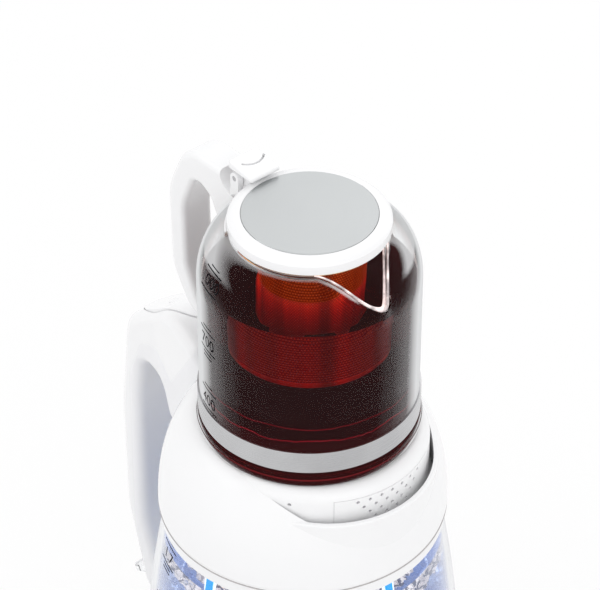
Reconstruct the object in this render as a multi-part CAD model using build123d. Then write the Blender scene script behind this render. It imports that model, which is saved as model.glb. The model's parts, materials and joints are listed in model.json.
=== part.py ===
from build123d import *
import math
import os

os.makedirs("parts", exist_ok=True)

# Millimetres. Origin on the kettle's axis at the table. +X points to the spout, -X to the handles,
# -Y to the control panel, +Z up. The set is a power base, a glass kettle that lifts off it, a lid in
# the kettle's dome that also is the seat of the teapot, and a glass teapot with a hinged lid.

# Fits
lift_gap = 0.3          # between pieces that lift, turn or slide apart
seat_gap = 0.15         # round fixed pieces that drop into each other
pin_gap = 0.05          # round pins and screws
screw_radius = 1.5
screw_head_radius = 3.0
screw_head_height = 1.6

# Power base
base_radius = 90.0
base_shell_height = 24.0
base_wall = 2.5
base_edge_radius = 6.0
foot_height = 3.0
foot_pocket = 1.2
foot_radius = 8.0
foot_circle = 70.0
foot_count = 4
base_cover_thickness = 2.5
base_screw_circle = 64.0
base_screw_length = 12.0
base_boss_radius = 4.5
cord_bore_radius = 3.75
cord_boss_length = 9.0

# Control panel on the front of the power base
panel_width = 96.0
panel_reach = 28.0
panel_overlap = 3.0     # how far the panel's slope starts inside the deck's edge
panel_front_height = 12.0
panel_wall = 3.4
panel_corner_radius = 12.0
fascia_width = 84.0
fascia_height = 27.0
fascia_thickness = 1.6
fascia_corner_radius = 5.0
button_pitch = 26.0
button_radius = 7.0
button_proud = 1.6
button_drop = 1.5       # the row of buttons lies this far below the fascia's middle
button_flange = 1.6
button_flange_thickness = 1.4
button_stem_radius = 2.0
button_stem_length = 1.6
button_travel = 1.2
button_names = ("tea_button", "boil_button", "keep_warm_button")
lens_radius = 1.5
lens_offset = 10.2
lens_proud = 0.2
board_width = 84.0
board_height = 19.0
board_thickness = 1.2
board_post_radius = 2.2
switch_size = 6.0
switch_height = 2.0
buzzer_radius = 6.0
buzzer_height = 3.0

# Round connector between base and kettle
tower_radius = 18.0
tower_height = 10.0     # above the deck of the base
tower_flange = 4.5
tower_flange_thickness = 2.0
tower_flange_depth = 4.5
groove_inner_radius = 9.0
groove_outer_radius = 12.0
groove_depth = 12.0
centre_bore_radius = 3.0
centre_bore_depth = 14.0
connector_gap = 0.6
connector_wall = 5.0
connector_roof = 4.0
connector_flange = 3.0
connector_flange_thickness = 2.0

# Kettle body
housing_height = 31.0
housing_wall = 2.5
housing_edge_radius = 4.0
kettle_cover_thickness = 2.5
kettle_cover_inset = 5.0
ledge_height = 23.0     # top of the ledge that carries the glass, above the kettle's underside
ledge_thickness = 2.5
ledge_inner_radius = 68.0
kettle_screw_length = 10.0
kettle_screw_count = 3
kettle_boss_radius = 4.0
lower_gasket_thickness = 1.5
lower_gasket_width = 10.0
glass_height = 124.0
glass_wall = 2.8
glass_bottom_radius = 86.0
glass_middle_radius = 81.2
glass_top_radius = 71.4
plate_thickness = 1.2
element_radius = 52.0
element_width = 9.0
element_height = 8.0
probe_radius = 8.0
probe_height = 6.0
probe_offset = 22.0
light_ring_width = 5.5
light_ring_height = 3.0
upper_gasket_thickness = 1.4
rim_lip_height = 4.0
rim_lip_wall = 1.5
rim_flange_thickness = 2.6
rim_flange_inner_radius = 62.0
rim_edge_height = 1.8   # rim's outer edge above its flange
seam_gap = 0.2

# Dome with the spout
dome_radius = 75.2
dome_height = 56.4
dome_top_radius = 50.0
dome_wall = 2.5
deck_thickness = 2.5
spigot_width = 2.5
neck_centre = 13.0
neck_radius = 56.0
neck_wall = 2.2
neck_edge_radius = 7.0
lip_centre = 20.0
lip_radius = 56.0
lip_foot_radius = 53.0
lip_wall = 2.5
lip_drop = 16.4         # crest of the spout's lip below the dome's top
lip_foot_drop = 50.0
spout_pocket_depth = 14.0
strainer_thickness = 1.4
strainer_half_angle = 33.0
strainer_height = 20.0
strainer_hole_radius = 0.9
strainer_step = 6.8     # degrees between holes in a row
strainer_row_pitch = 4.0
strainer_rows = (7, 6, 5, 4)
strainer_first_row = 2.6
vent_angle = -46.0
vent_drop = 8.4
vent_radius = 1.0

# Kettle lid, which is also the seat of the teapot
lid_disc_radius = 53.0
lid_disc_thickness = 3.0
lid_plug_radius = 45.0
lid_plug_depth = 13.0
lid_plug_wall = 2.5
lid_opening_gap = 1.0
lid_seal_height = 3.0
lid_seal_groove = 1.0
steam_hole_radius = 2.5
steam_hole_circle = 26.0
steam_hole_count = 6

# Kettle handle
handle_reach = 140.0    # outermost face from the kettle's axis
handle_width = 28.0
handle_root_width = 42.0
handle_depth = 18.0
handle_rise = 12.5      # top of the arm above the dome
handle_foot_drop = 1.7  # underside of the foot above the kettle's underside
handle_foot_depth = 21.0
handle_wall = 2.5
handle_edge_radius = 6.0
handle_back_inset = 9.5 # seam between shell and grip, from the outermost face
release_length = 50.0
release_width = 23.0
release_inset = 37.0    # middle of the button from the outermost face
release_proud = 0.8
release_thickness = 5.0
release_travel = 2.5
release_gap = 0.4
release_post_radius = 3.4
release_boss_radius = 5.0
spring_radius = 3.2
spring_wire = 0.4
spring_turns = 5
spring_setback = 15.0   # spring from the middle of the button
spring_length = 9.0
bridge_length = 12.0
bridge_thickness = 1.5
latch_width = 8.0
latch_height = 3.0
latch_drop = 9.4        # top of the latch bar below the dome's top
latch_ramp = 4.6
latch_tail = 2.0        # flat end of the latch behind its ramp
latch_nose_gap = 0.5
handle_screw_length = 14.0
handle_screw_spread = 9.0
handle_screw_drop = 26.0

# Switch lever in the foot of the handle
lever_pivot_inset = 21.0  # lever's pin from the handle's outermost face
lever_pivot_rise = 9.5
lever_length = 31.0
lever_inner_length = 10.0
lever_tilt = 27.0
lever_lift = 12.0       # degrees of travel
lever_width = 10.0
lever_thickness = 4.0
lever_pin_radius = 1.25
lever_pin_length = 18.0
lever_gap = 0.6
micro_switch_length = 12.0
micro_switch_width = 6.0
micro_switch_height = 7.0
micro_switch_setback = 11.4  # near side of the switch from the lever's pin

# Teapot
pot_offset = 5.0        # teapot's axis ahead of the kettle's
pot_radius = 55.4
pot_wall = 2.2
pot_floor = 4.0
pot_height = 117.3
pot_foot_radius = 56.8
pot_foot_height = 8.0
pot_ridge = 0.5
pot_neck_radius = 39.5
pot_neck_height = 1.6
pot_shoulder_height = 27.0
band_height = 12.5
band_rise = 9.0
band_thickness = 0.9
spout_root_centre = 28.0
spout_root_radius = 21.0
spout_tip_reach = 59.0
spout_tip_radius = 3.0
spout_drop = 4.0        # rim of the spout below the neck's top
spout_depth = 28.0
spout_foot_radius = 14.0
spout_foot_reach = 53.0
spout_wall = 1.8
collar_wall = 1.6
collar_height = 5.0
collar_rise = 1.0       # top of the collar above the neck's top
collar_half_angle = 120.0
ear_radius = 3.0
ear_width = 3.2
hinge_reach = 46.0      # lid hinge behind the teapot's axis
hinge_rise = 7.5        # lid hinge above the neck's top
hinge_pin_radius = 1.4
knuckle_radius = 3.5
knuckle_half_width = 6.0

# Teapot handle
pot_handle_reach = 101.0
pot_handle_width = 19.0
pot_handle_depth = 13.0
pot_handle_arm = 16.0
pot_handle_top = 6.5    # top of the arm above the neck's top
pot_handle_foot = 8.0
pot_handle_foot_rise = 5.5  # underside of the foot above the steel band's lower edge
pot_handle_edge_radius = 3.4
pot_handle_screw_length = 14.0

# Teapot lid
pot_lid_radius = 40.0
pot_lid_edge_height = 4.5
pot_lid_crown = 2.7
pot_lid_base = 3.0
pot_lid_gap = 0.3
disc_radius = 33.4
disc_thickness = 1.4
disc_proud = 0.3
plug_radius = 27.0
plug_depth = 5.0
plug_wall = 2.0
pot_seal_radius = 27.9
pot_seal_height = 2.0
tab_length = 20.0
tab_width = 19.0
tab_height = 6.0
tab_reach = 42.5
tab_edge_radius = 2.5

# Infuser basket
basket_radius = 29.4
basket_foot_radius = 27.5
basket_depth = 73.0
basket_wall = 0.6
basket_rim_radius = 38.6
basket_rim_thickness = 1.2
basket_band = 8.0
basket_slot_width = 1.6
basket_slot_count = 24
basket_slot_margin = 6.0

# Heights of the stack, from the table up
deck_z = foot_height + base_shell_height
kettle_z = deck_z + lift_gap
ledge_z = kettle_z + ledge_height
glass_z = ledge_z + lower_gasket_thickness
glass_top_z = glass_z + glass_height
rim_flange_z = glass_top_z + upper_gasket_thickness
rim_top_z = rim_flange_z + rim_flange_thickness
seam_z = rim_top_z + rim_edge_height + seam_gap
dome_top_z = seam_z + dome_height
pot_z = dome_top_z + lift_gap
neck_z = pot_z + pot_height
basket_top_z = neck_z + basket_rim_thickness
pot_lid_z = basket_top_z + pot_lid_gap
housing_radius = glass_bottom_radius + seat_gap + housing_wall
rim_slope_radius = dome_radius - 0.2


def disc(radius, low, high, x=0.0, y=0.0):
    """Upright cylinder between two heights."""
    return Pos(x, y, low) * Cylinder(radius, high - low, align=(Align.CENTER, Align.CENTER, Align.MIN))


def ring(outer, inner, low, high, x=0.0):
    """Upright tube between two heights."""
    return disc(outer, low, high, x) - disc(inner, low - 1, high + 1, x)


def block(low, high):
    """Box between two corners."""
    size = [b - a for a, b in zip(low, high)]
    return Pos(*low) * Box(*size, align=(Align.MIN, Align.MIN, Align.MIN))


def turned(*edges, x=0.0):
    """Solid of revolution about the upright axis at x, from a closed outline of radius and height."""
    return Pos(x, 0, 0) * revolve(Plane.XZ * make_face(edges), Axis.Z)


def turned_outline(points, x=0.0):
    """Solid of revolution from straight runs between points of radius and height."""
    return turned(Polyline(*points, close=True), x=x)


def side_plate(points, width):
    """Plate of a width along Y, from corners given as x, z and corner radius."""
    corners = [(x, z) for x, z, _ in points]
    radii = [radius for _, _, radius in points]
    outline = FilletPolyline(*corners, radius=radii, close=True)
    return extrude(Plane.XZ * make_face(outline), amount=width / 2, both=True)


def around(count, radius, start=0.0):
    """Places evenly spaced on a circle about the origin."""
    angles = [math.radians(start + 360.0 / count * i) for i in range(count)]
    return [(radius * math.cos(a), radius * math.sin(a)) for a in angles]


def upright_screw(x, y, seat, length):
    """Screw with its head below the seat and its shank going up."""
    head = disc(screw_head_radius, seat - screw_head_height, seat, x, y)
    return head + disc(screw_radius, seat, seat + length, x, y)


def save(shape, name):
    shape.label = name
    export_step(shape, f"parts/{name}.step")


# Power base ------------------------------------------------------------------

panel_front = base_radius + panel_reach
panel_back = base_radius - base_edge_radius - panel_overlap
panel_low = foot_height + panel_front_height
panel_run = panel_front - panel_back
panel_rise = deck_z - panel_low
panel_tilt = math.degrees(math.atan2(panel_rise, panel_run))
panel_plane = Plane(
    origin=(0, -(panel_front + panel_back) / 2, (panel_low + deck_z) / 2),
    x_dir=(1, 0, 0),
    z_dir=(0, -math.sin(math.radians(panel_tilt)), math.cos(math.radians(panel_tilt))),
)
board_top = -(panel_wall + lift_gap + button_flange_thickness + button_stem_length + button_travel
              + 0.1 + switch_height)
base_cover_top = foot_height + base_cover_thickness
base_screws_at = around(4, base_screw_circle)
tower_top = deck_z + tower_height
tower_flange_top = deck_z - tower_flange_depth
board_posts_at = [(sx * (board_width / 2 - 3), sy * (board_height / 2 - 3)) for sx in (-1, 1) for sy in (-1, 1)]


def panel_wedge(inset, wall):
    """Sloped block that carries the control panel, drawn in by inset, with its slope down by wall."""
    slope = math.radians(panel_tilt)
    drop = wall / math.cos(slope)
    front = panel_front - inset
    outline = [
        (-front, foot_height),
        (-front, panel_low + inset * math.tan(slope) - drop),
        (-panel_back, deck_z - drop),
        (-panel_back + base_wall * 4, deck_z - drop),
        (-panel_back + base_wall * 4, foot_height),
    ]
    face = Plane.YZ * make_face(Polyline(*outline, close=True))
    wedge = extrude(face, amount=panel_width / 2 - inset, both=True)
    corners = [e for e in wedge.edges().filter_by(Axis.Z) if e.center().Y < -front + 0.1]
    return fillet(corners, max(panel_corner_radius - inset, 1.0))


def base_upper_shell():
    dome = disc(base_radius, foot_height, deck_z)
    dome = fillet(dome.edges().group_by(Axis.Z)[-1], base_edge_radius)
    shell = dome + panel_wedge(0, 0)
    hollow = disc(base_radius - base_wall, foot_height, deck_z - base_wall)
    hollow = fillet(hollow.edges().group_by(Axis.Z)[-1], base_edge_radius - base_wall)
    shell = shell - hollow - panel_wedge(base_wall, panel_wall)
    for x, y in base_screws_at:
        shell += disc(base_boss_radius, base_cover_top, deck_z - base_wall, x, y)
    for x, y in board_posts_at:
        post = Pos(x, y, board_top) * Cylinder(
            board_post_radius, -board_top - panel_wall + 0.5, align=(Align.CENTER, Align.CENTER, Align.MIN))
        shell += panel_plane * post
    boss = Pos(0, base_radius - cord_boss_length / 2, cord_z()) * Rot(90, 0, 0) * Cylinder(
        cord_bore_radius + base_wall, cord_boss_length)
    shell += boss & disc(base_radius, foot_height, deck_z)
    shell -= Pos(0, base_radius - cord_boss_length / 2, cord_z()) * Rot(90, 0, 0) * Cylinder(
        cord_bore_radius, cord_boss_length * 2)
    for x, y in base_screws_at:
        shell -= disc(screw_radius + pin_gap, base_cover_top - 1, base_cover_top + base_screw_length, x, y)
    shell -= disc(tower_radius + lift_gap, deck_z - base_wall - 1, deck_z + 1)
    shell -= panel_plane * fascia_blank(seat_gap)
    for index in range(len(button_names)):
        shell -= panel_plane * button_hole(index)
        shell -= panel_plane * lens_hole(index)
    return shell


def cord_z():
    """Height of the cord's inlet, midway up the hollow of the base."""
    return (base_cover_top + deck_z - base_wall) / 2


def button_x(index):
    return (index - (len(button_names) - 1) / 2) * button_pitch


def button_hole(index):
    return Pos(button_x(index), -button_drop, 0) * Cylinder(button_radius + lift_gap, panel_wall * 3)


def lens_hole(index):
    return Pos(button_x(index), lens_offset, 0) * Cylinder(lens_radius + pin_gap, panel_wall * 3)


def fascia_blank(gap):
    """Plate of the fascia in the panel's own frame, grown by a gap."""
    outline = RectangleRounded(fascia_width + gap * 2, fascia_height + gap * 2, fascia_corner_radius)
    return Pos(0, 0, -fascia_thickness) * extrude(outline, amount=fascia_thickness * (2 if gap else 1))


def control_fascia():
    plate = fascia_blank(0)
    for index in range(len(button_names)):
        plate -= button_hole(index)
        plate -= lens_hole(index)
    return panel_plane * plate


def panel_button(index):
    """Button cap, its retaining flange and the stem that presses the switch."""
    flange_top = -(panel_wall + lift_gap)
    flange_low = flange_top - button_flange_thickness
    outline = [
        (0, flange_low - button_stem_length),
        (button_stem_radius, flange_low - button_stem_length),
        (button_stem_radius, flange_low),
        (button_radius + button_flange, flange_low),
        (button_radius + button_flange, flange_top),
        (button_radius, flange_top),
        (button_radius, button_proud),
        (0, button_proud),
    ]
    cap = turned_outline(outline)
    cap = fillet(cap.edges().group_by(Axis.Z)[-1], button_proud / 2)
    return panel_plane * Pos(button_x(index), -button_drop, 0) * cap


def indicator_lenses():
    lenses = []
    for index in range(len(button_names)):
        lens = Pos(button_x(index), lens_offset, -panel_wall) * Cylinder(
            lens_radius, panel_wall + lens_proud, align=(Align.CENTER, Align.CENTER, Align.MIN))
        lenses.append(panel_plane * lens)
    return Compound(children=lenses)


def control_board():
    board = Pos(0, 0, board_top - board_thickness / 2) * Box(board_width, board_height, board_thickness)
    return panel_plane * board


def button_switches():
    bodies = []
    for index in range(len(button_names)):
        body = Pos(button_x(index), -button_drop, board_top) * Box(
            switch_size, switch_size, switch_height, align=(Align.CENTER, Align.CENTER, Align.MIN))
        bodies.append(panel_plane * body)
    return Compound(children=bodies)


def buzzer():
    body = Pos(button_pitch / 2, board_height / 2 - buzzer_radius, board_top) * Cylinder(
        buzzer_radius, buzzer_height, align=(Align.CENTER, Align.CENTER, Align.MIN))
    return panel_plane * body


def base_bottom_cover():
    fit = base_radius - base_wall - seat_gap
    cover = disc(fit, foot_height, base_cover_top)
    half = panel_width / 2 - base_wall - seat_gap
    front = panel_front - base_wall - seat_gap
    tongue = block((-half, -front, foot_height), (half, -base_radius / 2, base_cover_top))
    corners = [e for e in tongue.edges().filter_by(Axis.Z) if e.center().Y < -front + 0.1]
    cover += fillet(corners, panel_corner_radius - base_wall)
    flange_radius = tower_radius + tower_flange
    cover += ring(flange_radius, flange_radius - base_wall, base_cover_top,
                  tower_flange_top - tower_flange_thickness - lift_gap)
    for x, y in base_screws_at:
        cover -= disc(screw_radius + pin_gap, foot_height - 1, base_cover_top + 1, x, y)
        cover -= disc(screw_head_radius + seat_gap, foot_height - 1, foot_height + screw_head_height, x, y)
    for x, y in around(foot_count, foot_circle, 45):
        cover -= disc(foot_radius + pin_gap, foot_height - 1, foot_height + foot_pocket, x, y)
    return cover


def base_feet():
    feet = []
    for x, y in around(foot_count, foot_circle, 45):
        foot = disc(foot_radius, 0, foot_height + foot_pocket, x, y)
        feet.append(fillet(foot.edges().group_by(Axis.Z)[0], foot_pocket / 2))
    return Compound(children=feet)


def base_screws():
    seat = foot_height + screw_head_height
    return Compound(children=[upright_screw(x, y, seat, base_screw_length - 2) for x, y in base_screws_at])


def power_tower():
    """Round half of the connector, which stands in the base and turns with the kettle."""
    flange_radius = tower_radius + tower_flange
    outline = [
        (0, tower_flange_top - tower_flange_thickness),
        (flange_radius, tower_flange_top - tower_flange_thickness),
        (flange_radius, tower_flange_top),
        (tower_radius, tower_flange_top),
        (tower_radius, tower_top),
        (groove_outer_radius, tower_top),
        (groove_outer_radius, tower_top - groove_depth),
        (groove_inner_radius, tower_top - groove_depth),
        (groove_inner_radius, tower_top),
        (centre_bore_radius, tower_top),
        (centre_bore_radius, tower_top - centre_bore_depth),
        (0, tower_top - centre_bore_depth),
    ]
    tower = turned_outline(outline)
    rims = [e for e in tower.edges().group_by(Axis.Z)[-1] if e.radius > tower_radius - 0.1]
    return chamfer(rims, 1.5)


# Kettle ----------------------------------------------------------------------

kettle_cover_top = kettle_z + kettle_cover_thickness
socket_roof_z = tower_top + connector_gap
socket_outer = tower_radius + connector_gap + connector_wall
kettle_screw_circle = (ledge_inner_radius + glass_bottom_radius - light_ring_width) / 2 - 2.0
kettle_screws_at = around(kettle_screw_count, kettle_screw_circle, 30)


def kettle_connector():
    """Cup under the kettle that drops over the tower, with its ring blade and centre pin."""
    wall = groove_outer_radius - groove_inner_radius - connector_gap * 2
    cup = disc(socket_outer, kettle_z, socket_roof_z + connector_roof)
    cup -= disc(tower_radius + connector_gap, kettle_z - 1, socket_roof_z)
    cup += ring(socket_outer + connector_flange, socket_outer - 1, kettle_cover_top,
                kettle_cover_top + connector_flange_thickness)
    blade_low = tower_top - groove_depth + connector_gap * 3
    cup += ring(groove_inner_radius + connector_gap + wall, groove_inner_radius + connector_gap,
                blade_low, socket_roof_z)
    cup += disc(centre_bore_radius - connector_gap, blade_low, socket_roof_z)
    return cup


def kettle_bottom_cover():
    cover = disc(housing_radius - kettle_cover_inset, kettle_z, kettle_cover_top)
    cover -= disc(socket_outer + seat_gap, kettle_z - 1, kettle_cover_top + 1)
    for x, y in kettle_screws_at:
        cover -= disc(screw_radius + pin_gap, kettle_z - 1, kettle_cover_top + 1, x, y)
        cover -= disc(screw_head_radius + seat_gap, kettle_z - 1, kettle_z + screw_head_height, x, y)
    return cover


def bottom_housing():
    """White ring round the kettle's foot, with the ledge that carries glass and heating plate."""
    low = kettle_z + kettle_cover_thickness * 0.4
    top = kettle_z + housing_height
    inside = housing_radius - housing_wall
    cover_radius = housing_radius - kettle_cover_inset + seat_gap
    ledge_low = ledge_z - ledge_thickness
    outline = [
        (cover_radius, low),
        (housing_radius, low),
        (housing_radius, top),
        (inside, top),
        (inside, ledge_z),
        (ledge_inner_radius, ledge_z),
        (ledge_inner_radius, ledge_low),
        (inside, ledge_low),
        (inside, kettle_cover_top + housing_wall),
        (cover_radius, kettle_cover_top + housing_wall),
    ]
    housing = turned_outline(outline)
    foot_edge = [e for e in housing.edges().group_by(Axis.Z)[0] if e.radius > housing_radius - 0.1]
    housing = fillet(foot_edge, housing_edge_radius)
    for x, y in kettle_screws_at:
        boss = disc(kettle_boss_radius, kettle_cover_top, ledge_low, x, y)
        boss -= disc(screw_radius + pin_gap, kettle_cover_top - 1, kettle_cover_top + kettle_screw_length, x, y)
        housing += boss
    return housing - handle_foot_slot()


def handle_foot_slot():
    """Hole in the housing through which the handle's wires reach the kettle's foot."""
    mid = kettle_z + handle_foot_drop + handle_foot_depth / 2
    return block((-housing_radius - 1, -4, mid - 3), (-housing_radius + housing_wall + 1, 4, mid + 3))


def kettle_cover_screws():
    seat = kettle_z + screw_head_height
    length = kettle_screw_length - 2
    return Compound(children=[upright_screw(x, y, seat, length) for x, y in kettle_screws_at])


def lower_gasket():
    return ring(glass_bottom_radius, glass_bottom_radius - lower_gasket_width, ledge_z, glass_z)


def heating_plate():
    radius = glass_bottom_radius - glass_wall - seat_gap * 2
    plate = disc(radius, glass_z, glass_z + plate_thickness)
    return plate


def heating_element():
    """Cast ring pressed against the underside of the heating plate."""
    middle = glass_z - element_height / 2
    profile = Plane.XZ * Pos(element_radius, middle) * RectangleRounded(element_width, element_height, 2)
    return revolve(profile, Axis.Z)


def temperature_probe():
    body = disc(probe_radius, glass_z - probe_height, glass_z, probe_offset)
    return fillet(body.edges().group_by(Axis.Z)[0], 1)


def light_ring():
    """Clear ring under the ledge that spreads the light of the indicator."""
    outer = housing_radius - housing_wall - seat_gap
    top = ledge_z - ledge_thickness
    return ring(outer, outer - light_ring_width, top - light_ring_height, top)


def kettle_glass():
    """Flared glass wall, open at both ends."""
    middle_z = glass_z + glass_height / 2
    outer = ThreePointArc(
        (glass_bottom_radius, glass_z), (glass_middle_radius, middle_z), (glass_top_radius, glass_top_z))
    inner = ThreePointArc(
        (glass_top_radius - glass_wall, glass_top_z),
        (glass_middle_radius - glass_wall, middle_z),
        (glass_bottom_radius - glass_wall, glass_z),
    )
    return turned(outer, Line(outer @ 1, inner @ 0), inner, Line(inner @ 1, outer @ 0))


def upper_gasket():
    return ring(glass_top_radius, glass_top_radius - glass_wall, glass_top_z, rim_flange_z)


def rim_ring():
    """White ring on the glass, which carries the dome."""
    lip_low = glass_top_z - rim_lip_height
    lip_inner = glass_top_radius + seat_gap + rim_lip_height * glass_lean()
    outline = [
        (lip_inner, lip_low),
        (lip_inner + rim_lip_wall, lip_low),
        (rim_slope_radius, rim_top_z + rim_edge_height),
        (spigot_radius() + seat_gap, rim_top_z + rim_edge_height),
        (spigot_radius() + seat_gap, rim_top_z),
        (rim_flange_inner_radius, rim_top_z),
        (rim_flange_inner_radius, rim_flange_z),
        (lip_inner, rim_flange_z),
    ]
    return turned_outline(outline)


def glass_lean():
    """How much the glass widens per millimetre down from its top edge."""
    return (glass_middle_radius - glass_top_radius) / (glass_height / 2) * 1.4


def spigot_radius():
    """Outside of the dome's spigot, which centres it in the rim ring."""
    return dome_radius - dome_wall - seat_gap * 2


# Dome and spout --------------------------------------------------------------

lip_z = dome_top_z - lip_drop
pocket_z = lip_z - spout_pocket_depth
recess_z = dome_top_z - lid_disc_thickness
cavity_top_z = recess_z - deck_thickness


def dome_blank(wall, top):
    """Round dome drawn in by a wall, closed at a height."""
    arc = EllipticalCenterArc(
        (dome_top_radius, seam_z), dome_radius - dome_top_radius - wall, top - seam_z, 0, arc_size=90)
    axis_top = (0, top)
    axis_low = (0, seam_z)
    return turned(arc, Line(arc @ 1, axis_top), Line(axis_top, axis_low), Line(axis_low, arc @ 0))


def dome_outside():
    """Everything inside the outer skin of dome, strainer neck and spout lip."""
    neck = disc(neck_radius, pocket_z - 10, dome_top_z, neck_centre)
    neck = fillet(neck.edges().group_by(Axis.Z)[-1], neck_edge_radius)
    foot_z = dome_top_z - lip_foot_drop
    lip = Pos(lip_centre, 0, foot_z) * Cone(
        lip_foot_radius, lip_radius, lip_z - foot_z, align=(Align.CENTER, Align.CENTER, Align.MIN))
    lip = fillet(lip.edges().group_by(Axis.Z)[-1], lip_wall * 0.4)
    return dome_blank(0, dome_top_z) + neck + lip


def spout_pocket():
    """Crescent between the strainer neck and the lip."""
    crescent = disc(lip_radius - lip_wall, pocket_z, dome_top_z + 5, lip_centre)
    return crescent - disc(neck_radius, pocket_z - 1, dome_top_z + 6, neck_centre)


def dome_cavity():
    neck_inner = neck_radius - neck_wall
    cavity = dome_blank(dome_wall, cavity_top_z) + disc(neck_inner, pocket_z - 8, cavity_top_z, neck_centre)
    cavity += disc(dome_radius - dome_wall - spigot_width, seam_z - 5, seam_z + 2)
    keep = disc(lip_radius, pocket_z - lip_wall, dome_top_z + 5, lip_centre)
    keep -= disc(neck_inner, pocket_z - lip_wall - 1, dome_top_z + 6, neck_centre)
    return cavity - keep


def strainer_sector(gap):
    """Window of the strainer in the neck's wall, drawn in by a gap."""
    low = lip_z - spout_pocket_depth / 2 - 2 + gap
    high = low + strainer_height - gap * 2
    half = math.radians(strainer_half_angle - gap)
    reach = neck_radius * 2
    corner = (reach * math.cos(half), reach * math.sin(half))
    outline = Polyline((0, 0), corner, (corner[0], -corner[1]), close=True)
    wedge = Pos(neck_centre, 0, low) * extrude(make_face(outline), amount=high - low)
    return wedge & ring(neck_radius + 1, neck_radius / 2, low - 1, high + 1, neck_centre)


def dome_cover():
    dome = dome_outside() - spout_pocket() - dome_cavity()
    spigot = ring(spigot_radius(), spigot_radius() - spigot_width, rim_top_z, seam_z + 3)
    ledge = ring(dome_radius - dome_wall / 2, spigot_radius() - spigot_width, seam_z, seam_z + 3)
    dome += spigot + (ledge & dome_blank(dome_wall / 2, dome_top_z))
    dome -= disc(lid_disc_radius + lift_gap, recess_z, dome_top_z + 1, pot_offset)
    dome -= disc(lid_plug_radius + lid_opening_gap, cavity_top_z - 1, recess_z + 1, pot_offset)
    dome -= strainer_sector(0)
    dome -= Rot(0, 0, vent_angle) * Pos(0, 0, dome_top_z - vent_drop) * Rot(0, 90, 0) * Cylinder(
        vent_radius, dome_radius, align=(Align.CENTER, Align.CENTER, Align.MIN))
    dome -= latch_slot()
    for y in (-handle_screw_spread, handle_screw_spread):
        dome -= handle_root_screw(y, pin_gap)
    return dome


def strainer():
    plate = strainer_sector(seat_gap) & ring(
        neck_radius, neck_radius - strainer_thickness, seam_z, dome_top_z, neck_centre)
    first = lip_z - spout_pocket_depth / 2 - 2 + strainer_height - strainer_first_row
    for row, count in enumerate(strainer_rows):
        for i in range(count):
            angle = (i - (count - 1) / 2) * strainer_step
            hole = Pos(neck_centre, 0, first - row * strainer_row_pitch) * Rot(0, 0, angle) * Rot(0, 90, 0)
            plate -= hole * Cylinder(
                strainer_hole_radius, neck_radius * 1.2, align=(Align.CENTER, Align.CENTER, Align.MIN))
    return plate


# Kettle handle ---------------------------------------------------------------

handle_top_z = dome_top_z + handle_rise
pot_back = pot_foot_radius + pot_ridge - pot_offset
foot_low_z = kettle_z + handle_foot_drop
foot_top_z = foot_low_z + handle_foot_depth
grip_inner = handle_reach - handle_depth
release_centre = handle_reach - release_inset
spring_centre = release_centre - spring_setback
lever_pivot_reach = handle_reach - lever_pivot_inset
latch_top_z = dome_top_z - latch_drop
latch_low_z = latch_top_z - latch_height
wedge_low_z = latch_top_z + lift_gap + release_travel
wedge_front_x = -(release_centre - release_post_radius)
latch_toe_x = wedge_front_x + release_travel - lift_gap / 2
latch_tail_x = latch_toe_x - latch_ramp - latch_tail
lever_z = kettle_z + lever_pivot_rise


def handle_side(inset):
    """Side view of the handle: over the arm, down the back, in at the foot and up the finger gap."""
    i = inset
    reach = handle_reach - i
    inner = grip_inner + i
    root = dome_top_radius - 8
    arm = reach - pot_back
    room = inner - dome_radius
    return [
        (-root, dome_top_z - 1 - i, 0),
        (-(pot_back + 2), dome_top_z - 1 - i, 3 + i),
        (-(pot_back + 11), handle_top_z - 4 - i, 10 - i),
        (-(pot_back + arm * 0.45), handle_top_z + 1.5 - i, 24 - i),
        (-(reach - 7), handle_top_z - 27, 20 - i),
        (-(reach + 0.5), dome_top_z - 78, 80),
        (-reach, foot_top_z + 36, 60),
        (-(reach - 14), foot_low_z + 5 + i, 8 - i),
        (-(reach - 19), foot_low_z + i, 4 - i),
        (-(housing_radius - 4), foot_low_z + i, 0),
        (-(housing_radius - 4), foot_top_z - i, 0),
        (-(inner - 9), foot_top_z - i, 12),
        (-inner, foot_top_z + 32, 40),
        (-inner, dome_top_z - 68, 40),
        (-(dome_radius + room * 0.93), dome_top_z - 35 + i, room * 0.15),
        (-(dome_radius + room * 0.53), dome_top_z - 42 + i, room * 0.25),
        (-(dome_radius + room * 0.38), dome_top_z - 60 + i, room * 0.19),
        (-root, dome_top_z - 64 + i, 0),
    ]


def handle_plan(inset):
    """Top view of the handle, which flares where the arm meets the dome."""
    half = handle_width / 2 - inset
    root_half = handle_root_width / 2 - inset
    upper = [
        (-handle_reach - 5, half, 0),
        (-(handle_reach - 36), half, 34),
        (-(dome_radius - 8), root_half, 30),
        (-(dome_top_radius - 10), root_half, 0),
    ]
    lower = [(x, -y, r) for x, y, r in reversed(upper)]
    points = upper + lower
    outline = FilletPolyline(*[(x, y) for x, y, _ in points], radius=[r for _, _, r in points], close=True)
    middle = (kettle_z + dome_top_z) / 2
    arm = Pos(0, 0, middle) * extrude(make_face(outline), amount=handle_top_z + 20 - middle)
    return arm + block((-handle_reach - 5, -half, 0), (0, half, middle))


def handle_blank():
    """Whole handle with soft edges, before it is split and hollowed."""
    body = side_plate(handle_side(0), handle_root_width + 4) & handle_plan(0)
    flanks = [e for e in body.edges() if is_flank_edge(e)]
    return fillet(flanks, handle_edge_radius)


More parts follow.
